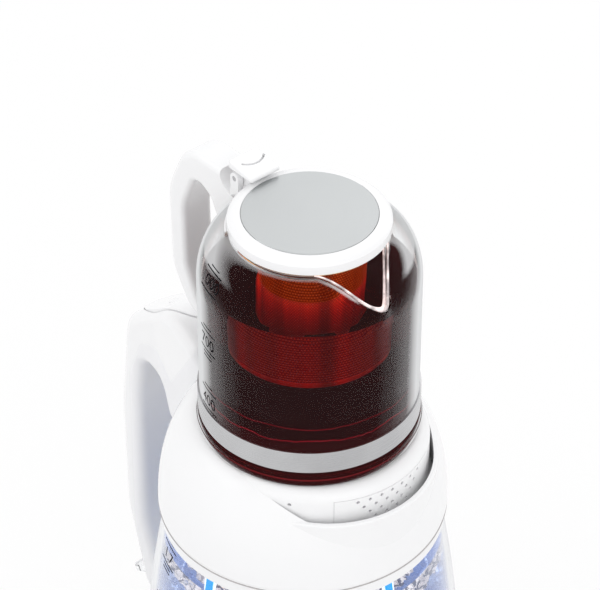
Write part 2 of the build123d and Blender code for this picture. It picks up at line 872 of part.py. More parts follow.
def is_flank_edge(edge):
    """Long edges between the flanks and the outline of the handle."""
    middle = edge.position_at(0.5)
    on_flank = abs(middle.Y) > handle_width / 2 - 0.01
    along_y = abs(edge.tangent_at(0.5).Y) > 0.9
    end_cut = middle.X > -(dome_top_radius - 6) or edge.position_at(0).X > -(dome_top_radius - 9)
    upright = abs(edge.tangent_at(0.5).Z) > 0.99 and middle.X > -(grip_inner - 10)
    foot_end = abs(middle.X + housing_radius - 4) < 0.1
    return on_flank and not along_y and not end_cut and not upright and not foot_end


def handle_hollow():
    """Space inside the handle for wires, latch and switch."""
    hollow = side_plate(handle_side(handle_wall), handle_width - handle_wall * 2)
    reach = dome_radius + 14
    hollow -= block((-reach, -handle_width, latch_low_z - 80), (0, handle_width, dome_top_z + 40))
    hollow -= block((-housing_radius - 6, -handle_width, foot_low_z - 5), (0, handle_width, foot_top_z + 5))
    wires = block((-housing_radius - 8, -4, foot_low_z + 6), (-housing_radius + 1, 4, foot_low_z + 15))
    return hollow + wires


def back_region():
    """Side of the seam that belongs to the outer shell."""
    back = handle_reach - handle_back_inset
    seam = [
        (-(handle_reach - 22), foot_low_z - 20, 0),
        (-back, foot_top_z + 20, 40),
        (-(back - 1), dome_top_z - 52, 26),
        (-(back - 17), dome_top_z - 13, 14),
        (-(back - 42.5), dome_top_z - 30.4, 0),
        (-(back - 66.5), dome_top_z + 3.6, 0),
        (-(back - 66.5), handle_top_z + 30, 0),
        (-(handle_reach + 30), handle_top_z + 30, 0),
        (-(handle_reach + 30), foot_low_z - 20, 0),
    ]
    return side_plate(seam, handle_root_width * 2)


def neighbours():
    """Dome, rim, glass and housing, grown a little, which the handle is cut back to."""
    grown = dome_blank(-seat_gap, dome_top_z + seat_gap)
    grown += disc(rim_slope_radius + seat_gap, glass_top_z - rim_lip_height - 1, seam_z)
    grown += disc(housing_radius + seat_gap, kettle_z - 5, kettle_z + housing_height + 2)
    return grown


def release_opening(gap):
    """Oval of the release button seen from above."""
    length = release_length + gap * 2
    width = release_width + gap * 2
    oval = Ellipse(length / 2, width / 2)
    return Pos(-release_centre, 0, dome_top_z - 30) * extrude(oval, amount=80)


def lever_window():
    """Slot in the handle's foot for the lever and its travel."""
    room = lever_thickness + lever_gap * 2 + lever_length * math.tan(math.radians(lever_lift)) * 0.6
    slot = Box(lever_length * 2, lever_width + lever_gap * 2, room, align=(Align.MAX, Align.CENTER, Align.CENTER))
    place = Pos(-lever_pivot_reach, 0, lever_z) * Rot(0, -(lever_tilt - lever_lift / 2), 0)
    well = Pos(-lever_pivot_reach, 0, lever_z) * Rot(90, 0, 0) * Cylinder(
        lever_thickness / 2 + lever_gap * 2, lever_width + lever_gap * 2)
    return place * slot + well


def handle_solid():
    return handle_blank() - neighbours() - handle_hollow()


def latch_slot():
    half = latch_width / 2 + lift_gap
    low = (-handle_reach + 30, -half, latch_low_z - lift_gap)
    high = (-lid_plug_radius + pot_offset + 1, half, latch_top_z + lift_gap)
    return block(low, high)


def latch_room():
    """Space for the latch's ramp and its travel."""
    half = latch_width / 2 + lift_gap
    back = latch_tail_x - release_travel - lift_gap * 2
    return block((back, -half, latch_low_z - lift_gap), (-release_centre + 8, half, latch_top_z + latch_ramp + 1))


def spring_bridge():
    """Rib across the shell that carries the button's spring, above the latch bar."""
    low = latch_top_z + lift_gap
    half = handle_width / 2 - handle_wall / 2
    left = -spring_centre - bridge_length / 2
    return block((left, -half, low), (left + bridge_length, half, low + bridge_thickness))


def lever_bosses():
    """Bosses in the grip that hold the ends of the lever's pin."""
    inner = lever_width / 2 + lever_gap
    outer = handle_width / 2 - handle_wall / 2
    bosses = []
    for side in (-1, 1):
        middle = side * (inner + outer) / 2
        boss = Pos(-lever_pivot_reach, middle, lever_z) * Rot(90, 0, 0) * Cylinder(
            lever_pin_radius + 2, outer - inner)
        bosses.append(boss)
    return bosses[0] + bosses[1]


def lever_pin_bore():
    return Pos(-lever_pivot_reach, 0, lever_z) * Rot(90, 0, 0) * Cylinder(
        lever_pin_radius + pin_gap, lever_pin_length + 0.2)


def handle_shell():
    """Outer skin of the handle, with the opening for the release button."""
    shell = handle_solid() & back_region()
    shell -= release_opening(release_gap)
    shell -= lever_window()
    shell += spring_bridge() & handle_solid_core()
    shell -= latch_slot() + latch_room()
    return largest(shell - lever_bosses() - lever_pin_bore())


def handle_solid_core():
    """Space inside the flanks of the handle, where the bridge may stand."""
    return side_plate(handle_side(handle_wall / 2), handle_width - handle_wall)


def largest(shape):
    """The biggest solid of a shape, without slivers that a cut leaves behind."""
    return max(shape.solids(), key=lambda solid: solid.volume)


def handle_grip():
    """Inner half of the handle, with the root on the dome and the foot on the housing."""
    grip = handle_solid() - back_region() - lever_window()
    grip += lever_bosses() & handle_blank()
    grip -= latch_slot() + latch_room()
    grip -= lever_pin_bore()
    for y in (-handle_screw_spread, handle_screw_spread):
        grip -= handle_root_screw(y, pin_gap)
    return largest(grip)


def handle_root_screw(y, gap):
    """Screw from inside the dome into the root of the handle."""
    z = dome_top_z - handle_screw_drop
    wall_x = dome_top_radius + (dome_radius - dome_top_radius) * math.sqrt(
        1 - ((dome_height - handle_screw_drop) / dome_height) ** 2) - dome_wall
    seat = -(wall_x - 2.0)
    shank = Pos(seat, y, z) * Rot(0, -90, 0) * Cylinder(
        screw_radius + gap, handle_screw_length + gap, align=(Align.CENTER, Align.CENTER, Align.MIN))
    head = Pos(seat, y, z) * Rot(0, 90, 0) * Cylinder(
        screw_head_radius + gap, screw_head_height + gap * 20, align=(Align.CENTER, Align.CENTER, Align.MIN))
    return shank + head


def handle_screws():
    screws = [handle_root_screw(y, 0) for y in (-handle_screw_spread, handle_screw_spread)]
    return Compound(children=screws)


def release_button():
    """Oval cap that follows the arm's top, with the spring boss and the wedge for the latch."""
    skin = side_plate(handle_side(0), handle_root_width + 4)
    cap = Pos(0, 0, release_proud) * skin - Pos(0, 0, -release_thickness) * skin
    cap = largest(cap & release_opening(0) & block(
        (-handle_reach, -30, dome_top_z - 25), (0, 30, handle_top_z + 10)))
    left = wedge_front_x - release_post_radius * 2
    wedge = [
        (left, wedge_low_z + release_post_radius * 2, 0),
        (wedge_front_x, wedge_low_z, 0),
        (wedge_front_x, handle_top_z - 5, 0),
        (left, handle_top_z - 7, 0),
    ]
    cap += side_plate(wedge, latch_width - 2)
    boss_low = latch_top_z + lift_gap + bridge_thickness + spring_length
    cap += disc(release_boss_radius, boss_low, handle_top_z - 4, -spring_centre)
    return cap


def release_spring():
    low = latch_top_z + lift_gap + bridge_thickness + spring_wire
    height = spring_length - spring_wire * 2
    path = Pos(-spring_centre, 0, low) * Helix(height / spring_turns, height, spring_radius)
    start = path @ 0
    profile = Plane(origin=start, z_dir=path % 0) * Circle(spring_wire)
    return sweep(profile, path)


def release_latch():
    """Bar that the button's wedge draws back from the lid."""
    nose = -(lid_plug_radius - pot_offset) - latch_nose_gap
    bar = block((latch_tail_x, -latch_width / 2, latch_low_z), (nose, latch_width / 2, latch_top_z))
    ramp = [
        (latch_toe_x, latch_top_z, 0),
        (latch_toe_x - latch_ramp, latch_top_z + latch_ramp, 0),
        (latch_tail_x, latch_top_z + latch_ramp, 0),
        (latch_tail_x, latch_low_z, 0),
        (latch_toe_x, latch_low_z, 0),
    ]
    return bar + side_plate(ramp, latch_width)


def switch_lever():
    """Clear rocker that sticks out behind the foot of the handle."""
    length = lever_length + lever_inner_length
    arm = Box(length, lever_width, lever_thickness, align=(Align.MAX, Align.CENTER, Align.CENTER))
    arm = Pos(lever_inner_length, 0, 0) * arm
    tips = [e for e in arm.edges().filter_by(Axis.Z)]
    arm = fillet(tips, lever_thickness / 2 - 0.1)
    hub = Rot(90, 0, 0) * Cylinder(lever_thickness / 2 + 0.4, lever_width)
    arm += hub
    arm -= Rot(90, 0, 0) * Cylinder(lever_pin_radius + pin_gap, lever_width + 2)
    return Pos(-lever_pivot_reach, 0, lever_z) * Rot(0, -lever_tilt, 0) * arm


def lever_pin():
    return Pos(-lever_pivot_reach, 0, lever_z) * Rot(90, 0, 0) * Cylinder(lever_pin_radius, lever_pin_length)


def micro_switch():
    """Switch in the foot that the lever's inner end works."""
    left = -lever_pivot_reach + micro_switch_setback
    low = foot_low_z + handle_wall
    return block(
        (left, -micro_switch_length / 2, low),
        (left + micro_switch_width, micro_switch_length / 2, low + micro_switch_height))


# Kettle lid ------------------------------------------------------------------

lid_plug_z = recess_z - lid_plug_depth


def kettle_lid():
    """Lid in the dome's opening. Its flat disc is the seat of the teapot."""
    lid = disc(lid_disc_radius, recess_z + lift_gap, dome_top_z, pot_offset)
    lid += ring(lid_plug_radius, lid_plug_radius - lid_plug_wall, lid_plug_z, dome_top_z - 1, pot_offset)
    lid -= ring(lid_plug_radius + 1, lid_plug_radius - lid_seal_groove, lid_plug_z + 2,
                lid_plug_z + 2 + lid_seal_height, pot_offset)
    for x, y in around(steam_hole_count, steam_hole_circle):
        lid -= disc(steam_hole_radius, recess_z - 1, dome_top_z + 1, x + pot_offset, y)
    return lid


def kettle_lid_seal():
    low = lid_plug_z + 2
    return ring(lid_plug_radius + lid_opening_gap / 3, lid_plug_radius - lid_seal_groove, low,
                low + lid_seal_height, pot_offset)


# Teapot ----------------------------------------------------------------------

band_z = pot_z + band_rise
shoulder_z = neck_z - pot_neck_height - pot_shoulder_height
spout_z = neck_z - spout_drop
hinge_x = pot_offset - hinge_reach
hinge_z = neck_z + hinge_rise
collar_z = neck_z + collar_rise
pot_arm_top_z = neck_z + pot_handle_top
pot_foot_end_z = band_z + pot_handle_foot_rise


def pot_blank(wall, low, high):
    """Body of the teapot drawn in by a wall, from a floor height to the top of the neck."""
    radius = pot_radius - wall
    neck = pot_neck_radius - wall
    shoulder_top = shoulder_z + pot_shoulder_height
    arc = EllipticalCenterArc((neck, shoulder_z), radius - neck, pot_shoulder_height, 0, arc_size=90)
    return turned(
        Polyline((0, low), (radius, low), (radius, shoulder_z)),
        arc,
        Polyline((neck, shoulder_top), (neck, high), (0, high), (0, low)),
        x=pot_offset,
    )


def spout_blank(wall):
    """Pulled spout: a drop-shaped outline at the rim that shrinks into the shoulder."""
    foot = Pos(0, 0, spout_z - spout_depth + wall) * drop_face(spout_foot_radius - wall, spout_foot_reach - wall, wall)
    return loft([foot, Pos(0, 0, spout_z) * spout_rim(wall)])


def spout_rim(wall):
    return drop_face(spout_root_radius - wall, spout_tip_reach - wall, wall)


def drop_face(radius, tip_reach, wall):
    """Face bounded by a large arc, a small arc at the tip and their two tangents."""
    centre = spout_root_centre
    tip_radius = spout_tip_radius - wall
    tip_centre = tip_reach - tip_radius
    lean = math.asin((radius - tip_radius) / (tip_centre - centre))
    side = (math.sin(lean), math.cos(lean))
    big_low = (centre + radius * side[0], -radius * side[1])
    big_high = (big_low[0], -big_low[1])
    tip_low = (tip_centre + tip_radius * side[0], -tip_radius * side[1])
    tip_high = (tip_low[0], -tip_low[1])
    return Pos(pot_offset, 0, 0) * make_face([
        Line(big_low, tip_low),
        ThreePointArc(tip_low, (tip_reach, 0), tip_high),
        Line(tip_high, big_high),
        ThreePointArc(big_high, (centre - radius, 0), big_low),
    ])


def teapot_glass():
    """Glass body with its thicker foot ring and the pulled spout."""
    outside = pot_blank(0, pot_z, neck_z)
    foot = disc(pot_foot_radius, pot_z, pot_z + pot_foot_height, pot_offset)
    foot = fillet(foot.edges(), 1.2)
    ridge_z = pot_z + pot_foot_height / 2
    outside += foot + ring(pot_foot_radius + pot_ridge, pot_radius, ridge_z - 0.4, ridge_z + 0.4, pot_offset)
    outside += spout_blank(0)
    glass = outside - pot_blank(pot_wall, pot_z + pot_floor, neck_z + 1)
    mouth = extrude(Pos(0, 0, spout_z - 0.1) * spout_rim(spout_wall), amount=spout_drop + 1)
    return glass - spout_blank(spout_wall) - mouth


def teapot_band():
    """Steel band round the body above the foot ring, which carries the handle's lower end."""
    inner = pot_radius + pin_gap
    return ring(inner + band_thickness, inner, band_z, band_z + band_height, pot_offset)


def collar_sector():
    """Wedge round the back of the neck, clear of the spout."""
    reach = pot_neck_radius * 3
    front = math.radians(180 - collar_half_angle)
    corner = (reach * math.cos(front), reach * math.sin(front))
    outline = Polyline((0, 0), corner, (-reach, corner[1]), (-reach, -corner[1]), (corner[0], -corner[1]), close=True)
    return Pos(pot_offset, 0, neck_z - 30) * extrude(make_face(outline), amount=60)


def teapot_collar():
    """Clip round the neck, with the ears of the lid's hinge."""
    inner = pot_neck_radius + seat_gap
    low = collar_z - collar_height
    collar = ring(inner + collar_wall, inner, low, collar_z, pot_offset) & collar_sector()
    for side in (-1, 1):
        middle = side * (knuckle_half_width + lift_gap + ear_width / 2)
        near = middle - ear_width / 2
        far = middle + ear_width / 2
        ear = Pos(hinge_x, middle, hinge_z) * Rot(90, 0, 0) * Cylinder(ear_radius, ear_width)
        ear += block((hinge_x - ear_radius, near, low), (hinge_x + ear_radius, far, hinge_z))
        ear += block((hinge_x - ear_radius, near, low), (pot_offset - inner + collar_wall, far, collar_z))
        collar += ear
    collar -= disc(inner, low - 1, collar_z + 1, pot_offset)
    collar -= pot_blank(-seat_gap, pot_z, neck_z)
    collar -= Pos(hinge_x, 0, hinge_z) * Rot(90, 0, 0) * Cylinder(hinge_pin_radius + pin_gap, 60)
    return collar


def hinge_pin():
    length = (knuckle_half_width + lift_gap + ear_width) * 2
    return Pos(hinge_x, 0, hinge_z) * Rot(90, 0, 0) * Cylinder(hinge_pin_radius, length)


def pot_handle_side():
    """Side view of the teapot's handle, as corners of x, z and radius."""
    reach = pot_handle_reach
    inner = reach - pot_handle_depth
    room = inner - pot_radius
    top = pot_arm_top_z
    under = top - pot_handle_arm
    low = pot_foot_end_z
    high = low + pot_handle_foot
    points = [
        (pot_neck_radius - 2, top, 0),
        (reach - 15, top - 1, 20),
        (reach, top - 32, 35),
        (reach - 1, low + 27, 28),
        (reach - 15, low + 5, 17),
        (pot_radius - 4, low, 0),
        (pot_radius - 4, high, 0),
        (pot_radius + room * 0.66, high + 3, room * 0.34),
        (inner - 1, high + 23, 20),
        (inner, top - 40, room * 0.75),
        (pot_radius + room * 0.7, under, room * 0.2),
        (pot_radius + room * 0.34, under - 6, room * 0.2),
        (pot_radius + 5, shoulder_z + 1, 6),
        (pot_radius - 12, shoulder_z + 1, 0),
        (pot_neck_radius - 2, neck_z - 6, 0),
    ]
    return [(pot_offset - x, z, r) for x, z, r in points]


def teapot_handle():
    blank = side_plate(pot_handle_side(), pot_handle_width)
    half = pot_handle_width / 2
    flanks = [
        e for e in blank.edges()
        if abs(e.position_at(0.5).Y) > half - 0.01 and e.position_at(0.5).X < pot_offset - pot_radius + 1
    ]
    blank = fillet(flanks, pot_handle_edge_radius)
    band_outer = pot_radius + pin_gap + band_thickness
    blank -= pot_blank(-seat_gap, pot_z, neck_z)
    blank -= disc(band_outer + seat_gap, pot_z, band_z + band_height + 1, pot_offset)
    blank -= teapot_collar_room()
    blank -= Pos(hinge_x, 0, hinge_z) * Rot(90, 0, 0) * Cylinder(hinge_sweep(), pot_handle_width * 2)
    blank -= pot_handle_screw_shape(pin_gap)
    return largest(blank)


def hinge_sweep():
    """Radius about the hinge that the lid's knuckle and tab pass through."""
    return math.hypot(tab_reach + tab_length / 2 - hinge_reach, knuckle_radius + tab_height) + lift_gap * 2


def teapot_collar_room():
    """Room in the handle for the collar and the ears."""
    low = collar_z - collar_height - seat_gap
    back = hinge_x - ear_radius - seat_gap
    return block((back, -pot_handle_width, low), (0, pot_handle_width, low + 40))


def pot_handle_screw_shape(gap):
    """Screw through the band into the lower end of the handle."""
    x = pot_offset - pot_radius - band_thickness - pin_gap - seat_gap
    z = pot_foot_end_z + pot_handle_foot / 2
    return Pos(x, 0, z) * Rot(0, -90, 0) * Cylinder(
        screw_radius + gap, pot_handle_screw_length + gap, align=(Align.CENTER, Align.CENTER, Align.MIN))


def teapot_handle_screw():
    return pot_handle_screw_shape(0)


# Infuser basket --------------------------------------------------------------

basket_low_z = basket_top_z - basket_depth


def basket_cup(inset, low):
    outline = [
        (0, low),
        (basket_foot_radius - inset, low),
        (basket_radius - inset, basket_top_z + (1 if inset else 0)),
        (0, basket_top_z + (1 if inset else 0)),
    ]
    return turned_outline(outline, x=pot_offset)


def infuser_basket():
    """Perforated steel cup that hangs in the neck of the teapot."""
    cup = basket_cup(0, basket_low_z) - basket_cup(basket_wall, basket_low_z + basket_wall)
    low = basket_low_z + basket_slot_margin
    high = neck_z - basket_band
    slot = block((basket_foot_radius / 2, -basket_slot_width / 2, low),
                 (basket_radius * 1.5, basket_slot_width / 2, high))
    slots = [Pos(pot_offset, 0, 0) * Rot(0, 0, 360.0 / basket_slot_count * i) * slot for i in range(basket_slot_count)]
    return cup - slots


def basket_rim():
    """Flat flange that rests on the glass neck."""
    return ring(basket_rim_radius, basket_radius + pin_gap, neck_z, basket_top_z, pot_offset)


# Teapot lid ------------------------------------------------------------------

pot_lid_edge_z = pot_lid_z + pot_lid_edge_height
pot_lid_top_z = pot_lid_edge_z + pot_lid_crown
tab_x = pot_offset - tab_reach


def teapot_lid():
    """Crowned ring with its base plate, the plug that centres it and the hinge's knuckle."""
    crown = ThreePointArc(
        (pot_lid_radius, pot_lid_edge_z),
        ((pot_lid_radius + disc_radius) / 2 + 0.8, pot_lid_edge_z + pot_lid_crown * 0.72),
        (disc_radius + seat_gap, pot_lid_top_z),
    )
    floor_z = pot_lid_top_z + disc_proud - disc_thickness
    lid = turned(
        Polyline((0, pot_lid_z), (pot_lid_radius, pot_lid_z), (pot_lid_radius, pot_lid_edge_z)),
        crown,
        Polyline((disc_radius + seat_gap, pot_lid_top_z), (disc_radius + seat_gap, floor_z), (0, floor_z), (0, pot_lid_z)),
        x=pot_offset,
    )
    lid -= disc(plug_radius - plug_wall, pot_lid_z - 1, floor_z - pot_lid_base, pot_offset)
    lid += ring(plug_radius, plug_radius - plug_wall, pot_lid_z - plug_depth, pot_lid_z + 1, pot_offset)
    knuckle = Pos(hinge_x, 0, hinge_z) * Rot(90, 0, 0) * Cylinder(knuckle_radius, knuckle_half_width * 2)
    knuckle += block(
        (hinge_x, -knuckle_half_width, pot_lid_edge_z - 2),
        (pot_offset - pot_lid_radius + 2, knuckle_half_width, hinge_z + knuckle_radius))
    lid += knuckle
    lid -= Pos(hinge_x, 0, hinge_z) * Rot(90, 0, 0) * Cylinder(hinge_pin_radius + pin_gap, knuckle_half_width * 4)
    return lid


def lid_disc():
    """Satin disc set into the lid's ring."""
    high = pot_lid_top_z + disc_proud
    plate = disc(disc_radius, high - disc_thickness, high, pot_offset)
    return fillet(plate.edges().group_by(Axis.Z)[-1], 0.3)


def lid_seal():
    return ring(pot_seal_radius, plug_radius, pot_lid_z - pot_seal_height, pot_lid_z, pot_offset)


def thumb_tab():
    """Thumb rest above the hinge. Pressing it raises the lid."""
    low = hinge_z + knuckle_radius
    tab = Pos(tab_x, 0, low) * Box(tab_length, tab_width, tab_height, align=(Align.CENTER, Align.CENTER, Align.MIN))
    tab = fillet(tab.edges().filter_by(Axis.Z), tab_edge_radius * 2)
    return fillet(tab.edges().group_by(Axis.Z)[-1], tab_edge_radius)


pieces = {
    "base_upper_shell": base_upper_shell,
    "base_bottom_cover": base_bottom_cover,
    "base_feet": base_feet,
    "base_screws": base_screws,
    "power_tower": power_tower,
    "control_fascia": control_fascia,
    "indicator_lenses": indicator_lenses,
    "control_board": control_board,
    "button_switches": button_switches,
    "buzzer": buzzer,
    "kettle_bottom_cover": kettle_bottom_cover,
    "kettle_cover_screws": kettle_cover_screws,
    "kettle_connector": kettle_connector,
    "bottom_housing": bottom_housing,
    "light_ring": light_ring,
    "lower_gasket": lower_gasket,
    "heating_plate": heating_plate,
    "heating_element": heating_element,
    "temperature_probe": temperature_probe,
    "kettle_glass": kettle_glass,
    "upper_gasket": upper_gasket,
    "rim_ring": rim_ring,
    "dome_cover": dome_cover,
    "strainer": strainer,
    "handle_shell": handle_shell,
    "handle_grip": handle_grip,
    "handle_screws": handle_screws,
    "release_button": release_button,
    "release_spring": release_spring,
    "release_latch": release_latch,
    "switch_lever": switch_lever,
    "lever_pin": lever_pin,
    "micro_switch": micro_switch,
    "kettle_lid": kettle_lid,
    "kettle_lid_seal": kettle_lid_seal,
    "teapot_glass": teapot_glass,
    "teapot_band": teapot_band,
    "teapot_collar": teapot_collar,
    "teapot_handle": teapot_handle,
    "teapot_handle_screw": teapot_handle_screw,
    "hinge_pin": hinge_pin,
    "infuser_basket": infuser_basket,
    "basket_rim": basket_rim,
    "teapot_lid": teapot_lid,
    "lid_disc": lid_disc,
    "lid_seal": lid_seal,
    "thumb_tab": thumb_tab,
}

for name, make in pieces.items():
    save(make(), name)
for index, name in enumerate(button_names):
    save(panel_button(index), name)
print("heights", dict(deck=deck_z, kettle=kettle_z, glass=glass_z, glass_top=glass_top_z, seam=seam_z,
                      dome_top=dome_top_z, teapot=pot_z, neck=neck_z, lid=pot_lid_z, hinge=(hinge_x, hinge_z)))
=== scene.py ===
import json
import math
import random

import bmesh
import bpy
from mathutils import Matrix, Vector


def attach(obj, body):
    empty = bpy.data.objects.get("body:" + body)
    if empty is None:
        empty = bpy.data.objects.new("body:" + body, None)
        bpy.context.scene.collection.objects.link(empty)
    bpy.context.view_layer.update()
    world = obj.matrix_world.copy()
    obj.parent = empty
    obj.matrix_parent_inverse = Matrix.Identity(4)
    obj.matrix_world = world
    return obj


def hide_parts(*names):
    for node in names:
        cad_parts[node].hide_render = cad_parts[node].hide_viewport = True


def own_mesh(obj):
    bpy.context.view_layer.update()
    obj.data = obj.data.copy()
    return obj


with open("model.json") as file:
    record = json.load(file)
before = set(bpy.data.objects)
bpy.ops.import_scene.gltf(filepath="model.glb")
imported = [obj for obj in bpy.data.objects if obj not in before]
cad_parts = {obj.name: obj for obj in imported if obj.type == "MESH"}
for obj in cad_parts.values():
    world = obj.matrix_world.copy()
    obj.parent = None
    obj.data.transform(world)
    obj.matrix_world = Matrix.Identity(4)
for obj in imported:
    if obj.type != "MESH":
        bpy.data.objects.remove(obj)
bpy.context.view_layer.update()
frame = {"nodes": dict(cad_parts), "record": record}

nodes = frame["nodes"]
slotOf = {row["node"]: row["material_slot"] for row in frame["record"]["subparts"]}
potAxis = 0.005  # x of the teapot's axis, the kettle's is at 0
print("model loaded,", len(nodes), "nodes")


# camera
cameraSetup = {
    "target": (-0.00095, -0.00113, 0.311),
    "back": (0.6007, -0.5041, 0.6205),
    "distance": 1.4274,
    "lens": 174.0,
    "sensor": 36.0,
}


def addCamera(setup):
    target = Vector(setup["target"])
    back = Vector(setup["back"]).normalized()
    camera = bpy.data.objects.new("camera", bpy.data.cameras.new("camera"))
    bpy.context.collection.objects.link(camera)
    camera.data.lens = setup["lens"]
    camera.data.sensor_width = setup["sensor"]
    camera.location = target + back * setup["distance"]
    camera.rotation_euler = back.to_track_quat("Z", "Y").to_euler()
    bpy.context.scene.camera = camera


addCamera(cameraSetup)
print("camera set")


# shader maths: a wire is one socket, and sums on wires add Math nodes
class Wire:
    def __init__(self, tree, socket):
        self.tree = tree
        self.socket = socket

    def math(self, operation, *others):
        return addNode(self.tree, "Math", {"operation": operation}, dict(enumerate((self,) + others)))

    def limited(self):
        return self.math("MINIMUM", 1.0).math("MAXIMUM", 0.0)

    def sharp(self, middle, contrast):
        return ((self - middle) * contrast).limited()

    def swing(self, level, spread):
        return level + (self - 0.5) * spread

    def __add__(self, other):
        return self.math("ADD", other)

    def __sub__(self, other):
        return self.math("SUBTRACT", other)

    def __rsub__(self, other):
        return addNode(self.tree, "Math", {"operation": "SUBTRACT"}, {0: other, 1: self})

    def __mul__(self, other):
        return self.math("MULTIPLY", other)

    def __truediv__(self, other):
        return self.math("DIVIDE", other)

    def __gt__(self, other):
        return self.math("GREATER_THAN", other)

    def __lt__(self, other):
        return self.math("LESS_THAN", other)

    def __mod__(self, other):
        return self.math("FLOORED_MODULO", other)

    __radd__ = __add__
    __rmul__ = __mul__


def feed(tree, target, value):
    if isinstance(value, Wire):
        tree.links.new(value.socket, target)
    elif target.type == "RGBA" and len(value) == 3:
        target.default_value = (*value, 1)
    else:
        target.default_value = value


def addNode(tree, kind, settings=None, sockets=None, output=0):
    made = tree.nodes.new("ShaderNode" + kind)
    for key, value in (settings or {}).items():
        if key == "stops":
            setStops(made.color_ramp, value)
        else:
            setattr(made, key, value)
    for key, value in (sockets or {}).items():
        feed(tree, made.inputs[key], value)
    return Wire(tree, made.outputs[output])


def setStops(ramp, stops):
    while len(ramp.elements) < len(stops):
        ramp.elements.new(0.5)
    for element, (place, level) in zip(ramp.elements, stops):
        element.position = place
        element.color = (level, level, level, 1)


class Finish:
    def __init__(self, name, constants):
        self.material = bpy.data.materials.new(name)
        self.material.use_nodes = True
        self.tree = self.material.node_tree
        self.tree.nodes.clear()
        self.shader = self.tree.nodes.new("ShaderNodeBsdfPrincipled")
        self.exit = self.tree.nodes.new("ShaderNodeOutputMaterial")
        self.tree.links.new(self.shader.outputs[0], self.exit.inputs["Surface"])
        self.place = self.node("TexCoord", output="Object")
        for socket, value in constants.items():
            self.set(socket, value)

    def node(self, kind, settings=None, sockets=None, output=0):
        return addNode(self.tree, kind, settings, sockets, output)

    def set(self, socket, value):
        feed(self.tree, self.shader.inputs[socket], value)

    def noise(self, scale, detail=2.0, place=None):
        return self.node("TexNoise", None, {"Vector": place or self.place, "Scale": scale, "Detail": detail})

    def mix(self, factor, first, second):
        return self.node("Mix", {"data_type": "RGBA"}, {0: factor, 6: first, 7: second}, output=2)

    # two colours, and where the look has them two glows and a roughness, that follow one noise
    def shades(self, look, detail=2.0):
        noise = self.noise(look["scale"], detail)
        if "contrast" in look:
            noise = noise.sharp(*look["contrast"])
        self.set("Base Color", self.mix(noise, *look["colours"]))
        if "glow" in look:
            self.set("Emission Color", self.mix(noise, *look["glow"]))
        if "rough" in look:
            level, spread = look["rough"]
            self.set("Roughness", level + noise * spread)
        return noise

    def bump(self, height, strength, distance):
        self.normal = self.node("Bump", None, {"Height": height, "Strength": strength, "Distance": distance})
        self.set("Normal", self.normal)

    def ripples(self, scale, detail, strength, distance):
        self.bump(self.noise(scale, detail), strength, distance)

    def bent(self, colour, index):
        return self.node("BsdfRefraction", None, {"Color": colour, "IOR": index, "Normal": self.normal})

    def blend(self, factor, first, second):
        return self.node("MixShader", None, {0: factor, 1: first, 2: second})

    def plain(self):
        return Wire(self.tree, self.shader.outputs[0])

    def show(self, shader):
        self.tree.links.new(shader.socket, self.exit.inputs["Surface"])

    def axes(self):
        split = self.node("SeparateXYZ", None, {"Vector": self.place})
        return [Wire(self.tree, out) for out in split.socket.node.outputs]

    def strokes(self, x, y, z, detail=3):
        return self.noise(1.0, detail, self.node("CombineXYZ", None, {"X": x, "Y": y, "Z": z}))

    def polar(self, centreX):
        x, y, z = self.axes()
        x = x - centreX
        angle = y.math("ARCTAN2", x)
        radius = (x * x + y * y).math("SQRT")
        return angle, radius, z


# finishes of the moulded, pressed and blown pieces
plasticKeys = ("colours", "scale", "grainScale", "roughness", "grainStrength")
plasticLooks = {
    "white_plastic": (((0.86, 0.86, 0.865), (0.83, 0.83, 0.84)), 18, 2600, (0.22, 0.10), 0.04),
    "grip_plastic": (((0.83, 0.83, 0.84), (0.79, 0.79, 0.81)), 24, 3200, (0.34, 0.14), 0.10),
    "fascia_plastic": (((0.50, 0.51, 0.53), (0.46, 0.47, 0.49)), 40, 3000, (0.32, 0.12), 0.10),
    "button_plastic": (((0.86, 0.86, 0.86), (0.80, 0.80, 0.81)), 60, 3600, (0.42, 0.16), 0.16),
    "silicone": (((0.62, 0.63, 0.65), (0.54, 0.55, 0.57)), 90, 2200, (0.62, 0.16), 0.16),
    "foot_rubber": (((0.030, 0.030, 0.032), (0.050, 0.050, 0.052)), 160, 1500, (0.78, 0.18), 0.35),
    "dark_plastic": (((0.016, 0.016, 0.018), (0.030, 0.030, 0.033)), 70, 2400, (0.48, 0.20), 0.20),
}
plasticValues = {"index": 1.46, "cloudDetail": 3, "grainDepth": 0.0004}


def mouldedPlastic(name, look, values):
    made = Finish(name, {"IOR": values["index"]})
    made.shades(look, values["cloudDetail"])
    grain = made.noise(look["grainScale"])
    made.set("Roughness", grain.swing(*look["roughness"]))
    made.bump(grain, look["grainStrength"], values["grainDepth"])
    return made.material


metalKeys = ("colours", "scale", "across", "lineScale", "roughness", "lineStrength", "centreX")
metalLooks = {
    "disc_metal": (((0.50, 0.515, 0.52), (0.475, 0.49, 0.495)), 22, "disc", 2600, (0.40, 0.12), 0.10, potAxis),
    "band_steel": (((0.64, 0.64, 0.65), (0.36, 0.36, 0.37)), 24, "wall", 3400, (0.26, 0.22), 0.18, potAxis),
    "plain_steel": (((0.52, 0.52, 0.53), (0.42, 0.42, 0.43)), 60, "disc", 1800, (0.30, 0.20), 0.14, 0.0),
    "spring_steel": (((0.62, 0.62, 0.64), (0.50, 0.50, 0.52)), 200, "wall", 2400, (0.22, 0.14), 0.10, 0.0),
    "basket_steel": (((0.78, 0.62, 0.40), (0.66, 0.50, 0.30)), 40, "disc", 2200, (0.24, 0.16), 0.12, potAxis),
}
metalValues = {"discAround": 0.6, "wallAround": 1.4, "lineDepth": 0.0002}


